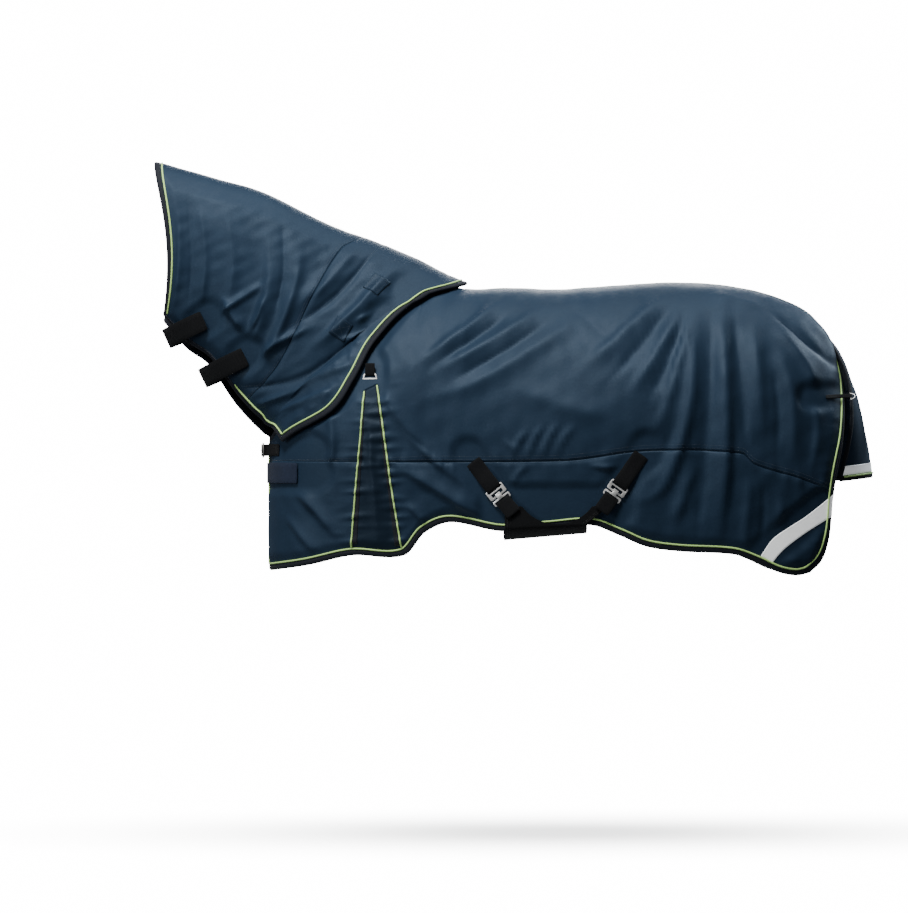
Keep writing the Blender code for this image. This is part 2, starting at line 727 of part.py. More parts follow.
def make_girth_tab(word, place, bar_out, hook_bar, ply, side):
    """Webbing that turns round the lower bar of the buckle and lies down over the girth's horn."""
    low = bar_out - ply
    run = []
    for k in range(7):
        angle = math.pi * k / 6
        run.append((hook_bar - ply * math.sin(angle), bar_out - ply * math.cos(angle)))
    path = [place.at(0, hook_bar + 0.012, low)] + [place.at(0, d, o) for d, o in run]
    end = place.at(0, hook_bar + 0.05, 0)
    end.y = side * (girth_half_width(end.x) + HORN_STAND_OFF + TAB_OVER_HORN)
    path.append(mix(path[-1], end, 0.5))
    path.append(end)
    return ribbon(f"{word}_girth_tab", path, place.across, WEBBING, WEBBING_THICK, WEB_LOOK)


def make_right_strap(word):
    """A strap from the right seam down over the girth's horn, with a sliding keeper."""
    place, length = strap_place(word, RIGHT)
    low = SHELL_LIFT + SHELL_THICK / 2 + KEEPER_CLEAR + KEEPER_WALL + TOUCH_GAP + WEBBING_THICK / 2
    over, end = place.at(0, 0.046, 0), place.at(0, 0.084, 0)
    for point in (over, end):
        point.y = girth_half_width(point.x) + HORN_STAND_OFF
    path = [place.at(0, -length, low), place.at(0, -length * 0.5, low), place.at(0, -0.012, low)]
    path += [over, end]
    ribbon(f"{word}_surcingle_right", path, place.across, WEBBING, WEBBING_THICK, WEB_LOOK)
    ring = box(f"{word}_keeper", place.matrix() @ Matrix.Translation((0, length * 0.62, low)),
               (WEBBING + 2 * KEEPER_WALL + 2 * TOUCH_GAP * 3, KEEPER_LENGTH,
                WEBBING_THICK + 2 * KEEPER_WALL + 2 * TOUCH_GAP), METAL)
    link(ring)
    hole = box(f"{word}_keeper_hole", ring.matrix_world,
               (WEBBING + 2 * TOUCH_GAP * 3, KEEPER_LENGTH * 2, WEBBING_THICK + 2 * TOUCH_GAP))
    helper(hole)
    boolean(ring, hole, "DIFFERENCE")


def make_surcingles():
    make_girth()
    for word in STRAPS:
        fit = make_left_strap(word)
        place, bar_out, ply = fit[0], fit[1], fit[5]
        hook, hook_bar = make_hook(word, fit)
        tab = make_girth_tab(word, place, bar_out, hook_bar, ply, LEFT)
        hang_on(joint_empty(f"{word}_hook_axis", place.at(0, hook_bar, bar_out)), hook, tab)
        make_right_strap(word)


# Small fabric pieces laid on the rug


def on_rug_strip(name, upper, lower, lift, thick, look, pieces, rows, side):
    """A strip between two side-view lines, laid on the rug."""

    def place(i, j):
        x = mix(along(upper, i / pieces, 1), along(lower, i / pieces, 1), j / rows)
        z = mix(along(upper, i / pieces, 2), along(lower, i / pieces, 2), j / rows)
        return on_side(x, z, lift, side)

    return sheet(name, pieces, rows, place, thick, look)


def make_reflectors():
    upper = ((0, 1.086, -0.628), (0.3, 1.036, -0.675), (0.6, 0.97, -0.722), (0.8, 0.925, -0.755),
             (1, 0.893, -0.795))
    lower = ((0, 1.072, -0.69), (0.3, 1.02, -0.735), (0.6, 0.975, -0.772), (0.8, 0.945, -0.803),
             (1, 0.925, -0.812))
    lift = SHELL_LIFT + SHELL_THICK / 2 + PIPING_CLEAR + 0.0004
    for word, side in SIDES.items():
        on_rug_strip(f"rear_reflector_{word}", upper, lower, lift, 0.0006, REFLECT_LOOK, 10, 2,
                     side)


def make_gusset_stays():
    """At each gusset's top a stitched webbing tab and, hung from it, a flat metal keeper."""
    base = SHELL_LIFT + SHELL_THICK / 2
    x = (GUSSET_FRONT_X[0] + GUSSET_REAR_X[0]) / 2
    for word, side in SIDES.items():
        out = facing(x, GUSSET_APEX_Z, side)
        lift = base + 0.0022
        place = Place(on_side(x, GUSSET_APEX_Z + 0.006, lift, side), (0, 0, -1), out)
        thick = 0.0018
        ply = turn_radius(0.003, 0.0026, thick)
        run = [(-0.034, -0.0004)] + loop_run(0.0, ply, (-0.024, 0.0012), 0.02)[1:]
        run[-1] = (run[-1][0], run[-1][1] - 0.0018)
        path = [place.at(0, d, o + ply - 0.0002) for d, o in run]
        ribbon(f"gusset_tab_{word}", path, place.across, 0.03, thick, WEB_LOOK)
        edge = [(-0.019, 0.0016), (0.019, 0.0016), (0.0235, -0.0145), (-0.0235, -0.0145)]
        hole = [(-0.016, -0.0014), (0.016, -0.0014), (0.0185, -0.0105), (-0.0185, -0.0105)]
        flat = Place(place.at(0, 0, ply - 0.0002), place.down, place.out)
        keeper = outline(f"gusset_keeper_{word}", [edge, hole], 0.0026, flat.matrix(), METAL)
        as_mesh(keeper)


# Chest closure


def wrapped(q, z, lift):
    """A point on the chest at a height, with q below 0 on the right."""
    x = CHEST_X + rolled(q)
    point = skin(max(abs(q), 0.0001), s_of(x, z), lift)
    return Vector((point.x, point.y if q > 0 else -point.y, point.z))


def make_chest():
    columns = 14

    def place(i, j):
        q = mix(-BAND_REACH, BAND_REACH, i / columns)
        point = wrapped(q if abs(q) > 1e-6 else 0.0001, BAND_Z - (j - 0.5) * BAND_HEIGHT, BAND_LIFT)
        if abs(q) < 1e-6:
            point.y = 0
        return point

    band = sheet("chest_band", columns, 1, place, BAND_THICK, WEB_LOOK)
    hinge = wrapped(-BAND_REACH, BAND_Z, BAND_LIFT)
    hang_on(joint_empty("chest_band_axis", hinge), band)

    ply = turn_radius(2 * RING_WIRE, 2 * RING_WIRE, WEBBING_THICK)
    up = Vector((0, 0, 1))
    for word, side, bar_y in (("left", LEFT, SNAP_EYE_BAR_Y), ("right", RIGHT, RING_BAR_Y)):
        start = wrapped(-side * 0.115, SNAP_Z, SHELL_LIFT + SHELL_THICK / 2 + 0.0034)
        mid = wrapped(-side * 0.085, SNAP_Z, SHELL_LIFT + SHELL_THICK / 2 + 0.0034)
        bar = Vector((SNAP_X, bar_y, SNAP_Z))
        toward = Vector((0, -side, 0))
        path = [start, mid]
        for k in range(7):
            angle = math.pi * k / 6
            path.append(bar + toward * ply * math.sin(angle)
                        + Vector((1, 0, 0)) * ply * math.cos(angle))
        path.append(bar + Vector((-ply, side * 0.012, 0)))
        path.append(bar + Vector((-ply + 0.002, side * 0.024, 0)))
        ribbon(f"chest_tab_{word}", path, up, SNAP_WEBBING, WEBBING_THICK, WEB_LOOK)

    half = SNAP_WEBBING / 2 + 0.003
    ring_path = [(RING_BAR_Y, half - 0.003), (RING_BAR_Y - 0.003, half),
                 (RING_BAR_Y - RING_DEPTH * 0.55, half), (RING_BAR_Y - RING_DEPTH, half * 0.45),
                 (RING_BAR_Y - RING_DEPTH, -half * 0.45), (RING_BAR_Y - RING_DEPTH * 0.55, -half),
                 (RING_BAR_Y - 0.003, -half), (RING_BAR_Y, -half + 0.003)]
    line = [(SNAP_X, y, SNAP_Z + z) for y, z in ring_path]
    ring = tube("chest_ring", line, RING_WIRE, METAL, sides=2, cyclic=True)
    hang_on(joint_empty("chest_ring_axis", (SNAP_X, RING_BAR_Y, SNAP_Z)), ring)

    eye_y = SNAP_EYE_BAR_Y
    where = Matrix.Translation((SNAP_X, eye_y, SNAP_Z)) @ Matrix(
        ((0, 0, 1, 0), (1, 0, 0, 0), (0, 1, 0, 0), (0, 0, 0, 1)))
    wire = RING_WIRE
    edge = box_loop(-wire, ply + WEBBING_THICK / 2 + 0.0006 + 2 * wire, -half - wire,
                    half + wire, 0.002)
    hole = box_loop(wire, ply + WEBBING_THICK / 2 + 0.0006, -half + wire, half - wire)
    eye = as_mesh(outline("snap_eye", [edge, hole], 2 * wire, where, METAL))
    stem_y = eye_y + ply + WEBBING_THICK / 2 + 0.0006 + 2 * wire
    stem = helper(rod("eye_stem", (SNAP_X, stem_y - wire, SNAP_Z), (SNAP_X, stem_y + 0.011, SNAP_Z),
                      0.0022))
    boolean(eye, stem, "UNION")
    head = helper(rod("eye_head", (SNAP_X, stem_y + 0.0085, SNAP_Z),
                      (SNAP_X, stem_y + 0.011, SNAP_Z), 0.0036))
    boolean(eye, head, "UNION")

    body_y = stem_y + 0.001
    ring_near = RING_BAR_Y - RING_DEPTH
    centre = ring_near
    reach = SNAP_HOOK_RADIUS
    body = link(rod("chest_snap", (SNAP_X, body_y, SNAP_Z), (SNAP_X, centre - reach + 0.001, SNAP_Z),
                    0.0058, METAL, 16))
    bore = helper(rod("snap_bore", (SNAP_X, body_y - 0.001, SNAP_Z), (SNAP_X, body_y + 0.008, SNAP_Z),
                      0.0026))
    pocket = helper(rod("snap_pocket", (SNAP_X, body_y + 0.0072, SNAP_Z),
                        (SNAP_X, body_y + 0.0112, SNAP_Z), 0.004))
    window = helper(box("snap_window", Matrix.Translation((SNAP_X, body_y + 0.0092, SNAP_Z)),
                        (0.003, 0.0034, 0.02)))
    hook_line = []
    for k in range(11):
        angle = math.radians(205 - 240 * k / 10)
        hook_line.append((SNAP_X + reach * math.sin(angle) * 1.0,
                          centre + reach * math.cos(angle), SNAP_Z))
    arm = tube_piece("snap_arm", hook_line, SNAP_HOOK_WIRE)
    helper(arm)
    boolean(body, arm, "UNION")
    bolt_x = SNAP_X + GATE_OFFSET
    tip = hook_line[-1]
    bolt_start = centre - reach - GATE_LENGTH + 0.001
    channel = helper(rod("gate_channel", (bolt_x, bolt_start - GATE_TRAVEL - 0.001, SNAP_Z),
                         (bolt_x, tip[1], SNAP_Z), GATE_RADIUS + 0.0004))
    boolean(body, channel, "DIFFERENCE")
    gate = link(rod("chest_snap_gate", (bolt_x, bolt_start, SNAP_Z),
                    (bolt_x, tip[1] - SNAP_HOOK_WIRE - 0.0006, SNAP_Z), GATE_RADIUS, METAL))
    thumb = helper(rod("gate_thumb", (bolt_x, bolt_start + 0.0025, SNAP_Z),
                       (SNAP_X - 0.0092, bolt_start + 0.0025, SNAP_Z), 0.0014))
    boolean(gate, thumb, "UNION")
    slot = helper(box("gate_slot", Matrix.Translation((SNAP_X - 0.006, bolt_start - GATE_TRAVEL / 2
                                                       + 0.0025, SNAP_Z)),
                      (0.012, GATE_TRAVEL + 0.0038, 0.0036)))
    boolean(body, slot, "DIFFERENCE")
    boolean(body, bore, "DIFFERENCE")
    boolean(body, pocket, "DIFFERENCE")
    boolean(body, window, "DIFFERENCE")


def tube_piece(name, line, radius):
    """A tube as a closed mesh that a Boolean can use."""
    obj = tube(name, line, radius, METAL, sides=2)
    NODES.objects.unlink(obj)
    return as_mesh(obj, linked=False)


# Tail


def bare_flap(a, b):
    """The tail flap: a runs down it, b across from the right edge at -1 to the left at 1."""
    x, z = along(FLAP_LINE, a, 1), along(FLAP_LINE, a, 2)
    turn = b * math.radians(80)
    depth = along(FLAP_DEPTH, a)
    side = math.sin(turn) / math.sin(math.radians(80))
    back = (1 - math.cos(turn)) / (1 - math.cos(math.radians(80)))
    slope = depth * back
    return Vector((x - slope, -side * along(FLAP_HALF_WIDTH, a), z - slope * along(FLAP_LEAN, a)))


def flap(a, b, lift):
    return lifted(bare_flap, a, b, lift, 0.01)


def make_tail():
    rows, columns = 9, 10
    last = 1 - BINDING_WIDTH / 0.42
    edge = 0.94

    def body(i, j):
        return flap(last * j / rows, mix(-edge, edge, i / columns), 0)

    shell = sheet("tail_flap", columns, rows, body, FLAP_THICK, NAVY_SHELL)
    run = [(last * j / rows, -edge) for j in range(rows)]
    run += [(last, mix(-edge, edge, i / columns)) for i in range(columns)]
    run += [(last * j / rows, edge) for j in range(rows, -1, -1)]
    ways = [Vector((0, -1))] * rows + [Vector((1, 0))] * columns + [Vector((0, 1))] * (rows + 1)
    ways[rows] = Vector((1, -1))
    ways[rows + columns] = Vector((1, 1))

    def hem(i, j):
        a, b = run[i]
        half = along(FLAP_HALF_WIDTH, a) * 1.4
        step = 0.0032 + j * 0.011
        return flap(a + ways[i].x * step / 0.42, b + ways[i].y * step / half, 0)

    binding = sheet("tail_flap_binding", len(run) - 1, 1, hem, FLAP_THICK, BINDING_LOOK)

    def strip(i, j):
        return flap(mix(REFLECTOR_A[0], REFLECTOR_A[1], j) - 0.035, mix(-edge, edge, i / columns),
                    FLAP_THICK / 2 + 0.0014)

    tape = sheet("tail_reflector", columns, 1, strip, 0.0006, REFLECT_LOOK)
    hinge = flap(0, 0, 0)
    hang_on(joint_empty("tail_flap_axis", hinge), shell, binding, tape)


def make_tail_rings():
    """A ring on a webbing loop at each rear edge, for a tail cord."""
    ply = turn_radius(2 * TAIL_RING_WIRE, 2 * TAIL_RING_WIRE, TAIL_TAB_THICK)
    base = SHELL_LIFT + SHELL_THICK / 2 + TAIL_TAB_THICK / 2 + 2.2 * PIPING_CLEAR
    for word, side in SIDES.items():
        edge_x = along(REAR, (TOP_ROWS - 0.5) / ROWS)
        sewn = on_side(edge_x - 0.055, TAIL_RING_Z, base, side)
        lip = on_side(edge_x - 0.012, TAIL_RING_Z, base + 2.4 * PIPING_RADIUS, side)
        out = facing(edge_x - 0.012, TAIL_RING_Z, side)
        bar = lip + Vector((0.027, side * 0.001, 0))
        place = Place(bar, bar - lip, out)
        run = [(ply * math.sin(math.pi * k / 6), ply * math.cos(math.pi * k / 6))
               for k in range(7)]
        path = [sewn, lip] + [place.at(0, d, o) for d, o in run]
        path.append(place.at(0, -0.012, -ply))
        ribbon(f"tail_tab_{word}", path, place.across, TAIL_TAB_WIDTH, TAIL_TAB_THICK, WEB_LOOK)
        line = [place.at(-TAIL_RING_RADIUS, 0, 0)]
        for k in range(9):
            angle = math.pi * k / 8
            line.append(place.at(TAIL_RING_RADIUS * math.cos(angle),
                                 TAIL_RING_RADIUS * (0.15 + 1.3 * math.sin(angle)), 0))
        line[0:2] = [place.at(TAIL_RING_RADIUS, 0, 0), line[1]]
        line.append(place.at(-TAIL_RING_RADIUS, 0, 0))
        ring = tube(f"tail_ring_{word}", line, TAIL_RING_WIRE, METAL, cyclic=True)
        hang_on(joint_empty(f"tail_ring_{word}_axis", bar), ring)


# Hood


def hood_phi(j, rows, slack=0.0):
    return mix(-HOOD_FAR_EDGE + slack, HOOD_NEAR_EDGE - slack, j / rows)


def hood_sheet(name, lift, thick, look, i0, i1, inset=0.0):
    def place(i, j):
        a = min(max(i0 + i, i0 + inset), i1 - inset) / HOOD_COLUMNS
        return hood(a, hood_phi(j, HOOD_ROWS), lift)

    return sheet(name, i1 - i0, HOOD_ROWS, place, thick, look)


def make_hood():
    columns, seam = HOOD_COLUMNS, HOOD_SEAM_COLUMN
    hood_sheet("hood_lining", HOOD_LINING_LIFT, LINING_THICK, CHARCOAL_LINING, 0, columns)
    hood_sheet("hood_wadding", HOOD_WADDING_LIFT, HOOD_WADDING_THICK, WADDING_LOOK, 0, columns)
    hood_sheet("hood_front_panel", HOOD_SHELL_LIFT, SHELL_THICK, NAVY_SHELL, 0, seam, 0.01)
    hood_sheet("hood_rear_panel", HOOD_SHELL_LIFT, SHELL_THICK, NAVY_SHELL, seam, columns, 0.01)
    rows = HOOD_ROWS
    run = [(0, hood_phi(j, rows)) for j in range(rows)]
    run += [(i / columns, HOOD_NEAR_EDGE) for i in range(columns)]
    run += [(1, hood_phi(j, rows)) for j in range(rows, 0, -1)]
    run += [(i / columns, -HOOD_FAR_EDGE) for i in range(columns, 0, -1)]
    count = len(run)
    middle = (HOOD_LINING_LIFT + HOOD_SHELL_LIFT) / 2

    def rim_point(i, reach):
        a, phi = run[i % count]
        here = hood(a, phi, middle)
        inward = hood(mix(a, 0.5, 0.04), phi * 0.985, middle) - here
        if 0 < a < 1:
            inward = hood(a, phi * 0.96, middle) - here
        elif abs(phi) < HOOD_NEAR_EDGE - 0.001:
            inward = hood(mix(a, 0.5, 0.08), phi, middle) - here
        return here - inward.normalized() * reach

    def place(i, j):
        return rim_point(i, 2 * BINDING_GAP + (1 - j) * BINDING_WIDTH)

    mesh = bmesh.new()
    bmesh.ops.create_grid(mesh, x_segments=count, y_segments=1, size=1)
    for vertex in mesh.verts:
        i = round((vertex.co.x + 1) / 2 * count)
        vertex.co = place(i, round((vertex.co.y + 1) / 2))
    bmesh.ops.remove_doubles(mesh, verts=mesh.verts, dist=0.00005)
    data = bpy.data.meshes.new("hood_binding")
    mesh.to_mesh(data)
    mesh.free()
    data.materials.append(BINDING_LOOK)
    binding = link(bpy.data.objects.new("hood_binding", data))
    solidify(binding, HOOD_SHELL_LIFT - HOOD_LINING_LIFT + SHELL_THICK)

    lift = HOOD_SHELL_LIFT + SHELL_THICK / 2 + PIPING_RADIUS
    for word, a, clear in (("front", 0.006, 0.0014), ("rear", 0.994, 0.0038)):
        line = [hood(a, hood_phi(j, rows, 0.08), lift + clear) for j in range(rows + 1)]
        tube(f"hood_piping_{word}", line, PIPING_RADIUS, LIME_LOOK)
    lift = HOOD_SHELL_LIFT + SHELL_THICK / 2 + PIPING_CLEAR / 2 + PATCH_THICK / 2
    for word, (a, degrees) in PATCHES.items():
        for which, side in SIDES.items():
            phi = math.radians(degrees) * -side
            a_step = PATCH_SIZE / 2 / HOOD_LENGTH
            reach = (hood(a, phi + 0.05, 0) - hood(a, phi - 0.05, 0)).length / 0.1
            span = PATCH_SIZE / 2 / reach

            def place(i, j, a=a, phi=phi, a_step=a_step, span=span):
                return hood(a + (i - 1) * a_step * 0.5, phi + (j - 1) * span, lift)

            sheet(f"hood_patch_{word}_{which}", 2, 2, place, PATCH_THICK, WEB_LOOK)
    lift_axis = joint_empty("hood_lift_axis", HOOD_LIFT_AXIS)
    hang_on(lift_axis, *[piece for piece in NODES.objects if piece.name.startswith("hood_")])
    for word, (start, low, clear) in THROAT_STRAPS.items():
        strap_axis = make_throat_strap(word, Vector((start[0], 0, start[1])),
                                       Vector((low[0], 0, low[1])), clear)
        hang_on(lift_axis, strap_axis)


def make_throat_strap(word, start, low, clear):
    """A band that passes under the throat from the right edge of the hood to its left."""
    lift = HOOD_SHELL_LIFT + SHELL_THICK / 2 + THROAT_STRAP_THICK / 2 + clear
    step = 0.005
    fore = (half_width(start.x + step, start.z) - half_width(start.x - step, start.z)) / 2 / step
    rise = (half_width(start.x, start.z + step) - half_width(start.x, start.z - step)) / 2 / step
    widest = half_width(start.x, start.z) + lift * math.sqrt(1 + fore ** 2 + rise ** 2)
    final = math.radians(104)
    way = (start - low)
    reach = way.length / (1 - math.cos(final))
    way.normalize()
    across = Vector((way.z, 0, -way.x))
    pieces = 12
    path = []
    for k in range(pieces + 1):
        angle = mix(-final, final, k / pieces)
        path.append(low + way * reach * (1 - math.cos(angle))
                    + Vector((0, -math.sin(angle) * widest / math.sin(final), 0)))
    strap = ribbon(f"throat_strap_{word}", path, across, THROAT_STRAP_WIDTH, THROAT_STRAP_THICK,
                   WEB_LOOK)
    axis = joint_empty(f"throat_strap_{word}_axis", path[0])
    hang_on(axis, strap)
    return axis


clear_scene()
NODES = collection_named("turnout_rug")
CUTTERS = collection_named("cutters_and_axes")
NAVY_SHELL = material("navy_shell", NAVY, 0.55)
BINDING_LOOK = material("navy_binding", DARK_NAVY, 0.7)
CHARCOAL_LINING = material("lining", CHARCOAL, 0.5)
WADDING_LOOK = material("wadding", WHITE, 0.9)
LIME_LOOK = material("lime_piping", LIME, 0.6)
WEB_LOOK = material("black_webbing", BLACK, 0.75)
REFLECT_LOOK = material("reflective_tape", SILVER, 0.35)
METAL = material("satin_metal", PEWTER, 0.3, 1.0)
make_body()
make_edges()
make_reflectors()
make_gusset_stays()
make_surcingles()
make_chest()
make_tail()
make_tail_rings()
make_hood()
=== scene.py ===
"""Looks of a padded turnout rug with a fixed neck cover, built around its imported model.

Metres, +Z up, +X towards the tail, -Y on the horse's left. The fabric follows the same form as
the model: the rug by its unrolled position (q, s), the neck cover by (a, phi), the tail flap by
(a, b). Folds are raised from that form by their lines in side view.
"""
import math

import bmesh
import bpy
import numpy as np
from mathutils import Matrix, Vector


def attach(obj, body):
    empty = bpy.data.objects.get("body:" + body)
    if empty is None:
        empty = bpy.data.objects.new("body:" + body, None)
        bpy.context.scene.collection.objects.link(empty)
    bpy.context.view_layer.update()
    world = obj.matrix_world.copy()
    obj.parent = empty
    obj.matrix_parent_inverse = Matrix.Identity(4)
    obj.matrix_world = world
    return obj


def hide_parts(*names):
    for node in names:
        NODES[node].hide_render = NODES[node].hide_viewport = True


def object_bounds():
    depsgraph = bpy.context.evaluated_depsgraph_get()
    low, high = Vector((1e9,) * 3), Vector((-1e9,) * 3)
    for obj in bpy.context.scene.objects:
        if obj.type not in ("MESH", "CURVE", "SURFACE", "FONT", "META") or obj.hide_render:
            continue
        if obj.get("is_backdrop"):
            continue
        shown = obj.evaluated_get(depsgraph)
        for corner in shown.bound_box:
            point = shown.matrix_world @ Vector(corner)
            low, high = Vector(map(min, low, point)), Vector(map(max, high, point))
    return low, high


bl_info = {
    "name": "Turnout rug with neck cover",
    "version": (1, 0, 0),
    "blender": (4, 5, 0),
    "location": "3D View > Sidebar > Rug",
    "description": "Fabric, webbing, hardware and stitching of a padded turnout rug",
    "category": "Object",
}

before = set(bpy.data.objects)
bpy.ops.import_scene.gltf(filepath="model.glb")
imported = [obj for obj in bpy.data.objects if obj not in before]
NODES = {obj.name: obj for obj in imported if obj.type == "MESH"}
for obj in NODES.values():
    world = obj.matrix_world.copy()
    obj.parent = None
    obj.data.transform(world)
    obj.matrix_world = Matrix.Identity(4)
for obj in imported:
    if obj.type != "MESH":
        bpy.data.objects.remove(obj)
MODEL_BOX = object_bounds()
LEFT, RIGHT = -1, 1
SIDES = {"left": LEFT, "right": RIGHT}

# Form under the rug: outlines as (x, value)
CREST = ((-0.93, 0.364), (-0.763, 0.316), (-0.617, 0.274), (-0.4925, 0.213), (-0.4, 0.168),
         (-0.2675, 0.119), (-0.143, 0.064), (0, -0.006), (0.14, -0.006), (0.3, -0.011),
         (0.43, -0.001), (0.68, 0.011), (0.81, 0), (0.906, -0.019), (0.988, -0.048),
         (1.046, -0.08), (1.09, -0.132), (1.125, -0.2), (1.2, -0.36))
THROAT = ((-0.93, -0.045), (-0.903, -0.075), (-0.827, -0.17), (-0.757, -0.225), (-0.68, -0.345),
          (-0.61, -0.42), (-0.575, -0.45), (-0.4, -0.75), (0, -1.0), (1.2, -1.0))
NECK_HALF_WIDTH = ((-0.93, 0.085), (-0.8, 0.1), (-0.7, 0.115), (-0.6, 0.125), (-0.45, 0.15),
                   (-0.3, 0.17), (-0.15, 0.2), (0, 0.22), (1.2, 0.22))
BODY_TOP = ((-0.575, -0.4), (-0.4, -0.22), (-0.2, -0.07), (0, -0.006))
BODY_HALF_WIDTH = ((-0.215, 0.255), (0, 0.272), (0.2, 0.3), (0.4, 0.315), (0.6, 0.308),
                   (0.8, 0.295), (0.95, 0.272), (1.05, 0.236), (1.1, 0.206), (1.15, 0.17))
BODY_ROUND = ((-0.575, 0.2), (-0.3, 0.3), (0, 0.42), (0.3, 0.46), (0.7, 0.46), (0.95, 0.4),
              (1.1, 0.3))
CHEST_X, CHEST_REACH, CHEST_HALF_WIDTH = -0.575, 0.36, 0.255
JOIN_POWER = 4
UNROLL = 0.18

# Cut of the rug: outlines as (x, z)
NECKLINE = ((-0.575, -0.462), (-0.5, -0.36), (-0.4, -0.25), (-0.3, -0.12), (-0.2, -0.03),
            (-0.12, 0.052))
SEAM = ((-0.575, -0.52), (0.298, -0.52), (0.553, -0.49), (0.836, -0.498), (0.8725, -0.53),
        (1.0, -0.57), (1.12, -0.615))
HEM = ((-0.575, -0.838), (-0.462, -0.82), (-0.33, -0.79), (-0.178, -0.79), (-0.12, -0.724),
       (-0.036, -0.69), (0.12, -0.716), (0.26, -0.706), (0.39, -0.698), (0.477, -0.73),
       (0.553, -0.762), (0.65, -0.776), (0.815, -0.786), (0.885, -0.81), (0.95, -0.84),
       (1.0, -0.85), (1.04, -0.842))
REAR = ((0, 1.112), (0.18, 1.138), (0.4, 1.136), (0.6, 1.108), (0.8, 1.097),
        (0.9, 1.083), (0.96, 1.064), (1, 1.036))
FLAP_EDGE_Q = 0.022
GUSSET_FRONT_X, GUSSET_REAR_X = (-0.29, -0.33), (-0.253, -0.178)
BEHIND_NECKLINE_X = (-0.12, -0.1)
STATIONS = (5, 2, 2, 12)
TOP_ROWS, SEAM_ROW, ROWS = 3, 6, 10
GUSSET_START, GUSSET_END, NECKLINE_COLUMN, COLUMNS = 5, 7, 9, 21
END_CROWDING = 0.09
# Mesh cells to a cell of the pattern, and the gap between panels in pattern cells
CELL, LINING_CELL, WADDING_CELL, PANEL_GAP = 13, 6, 5, 0.001

# Layers: height of the middle of each over the form, and thickness
LINING_LIFT, LINING_THICK = 0.001, 0.0014
WADDING_LIFT, WADDING_THICK = 0.005, 0.0052
SHELL_LIFT, SHELL_THICK = 0.0091, 0.0016
HOOD_LINING_LIFT, HOOD_WADDING_LIFT, HOOD_WADDING_THICK = 0.0175, 0.0205, 0.0034
HOOD_SHELL_LIFT = 0.0238
HOOD_REAR_RAISE, HOOD_RAISE_FROM = 0.0084, 0.65
BINDING_WIDTH = 0.013

# Neck cover
POLL_X, WITHERS_X, THROAT_X, HOOD_CORNER_X = -0.927, -0.004, -0.885, -0.556
HOOD_FRONT_BULGE = 0.026
HOOD_REAR_SHIFT = ((0, 0), (0.05, -0.088), (0.33, -0.069), (0.576, 0), (0.764, 0.04), (0.9, 0.005),
                   (1, 0))
HOOD_NEAR_EDGE, HOOD_FAR_EDGE = math.radians(150), math.radians(160)
HOOD_SEAM_A = 2 / 3

# Tail flap
FLAP_LINE = ((0, 1.095, -0.1215), (0.16, 1.146, -0.189), (0.34, 1.178, -0.275),
             (0.55, 1.207, -0.37), (0.77, 1.232, -0.47), (1, 1.247, -0.572))
FLAP_HALF_WIDTH = ((0, 0.06), (0.16, 0.1), (0.34, 0.14), (0.6, 0.17), (1, 0.185))
FLAP_DEPTH = ((0, 0.007), (0.16, 0.009), (0.34, 0.01), (0.6, 0.04), (0.8, 0.08), (1, 0.12))
FLAP_LEAN = ((0, 0.77), (0.2, 0.4), (0.5, 0.12))
FLAP_THICK, FLAP_EDGE, FLAP_LENGTH = 0.0036, 0.94, 0.42

# Girth
GIRTH_BOTTOM_X, GIRTH_TOP_X = (0.128, 0.374), (0.128, 0.44)
GIRTH_TOP_Z, GIRTH_TURN_Z = -0.655, (-0.714, -0.706)
GIRTH_BOTTOM_Z = (-0.757, -0.736)
GIRTH_LIFT, GIRTH_THICK, GIRTH_STRAIGHT = 0.0215, 0.005, 0.3
GIRTH_CUT, GIRTH_EDGE = (0.13, 0.284, -0.578), 0.0012
GIRTH_FLAT = (0.26, 1.0)

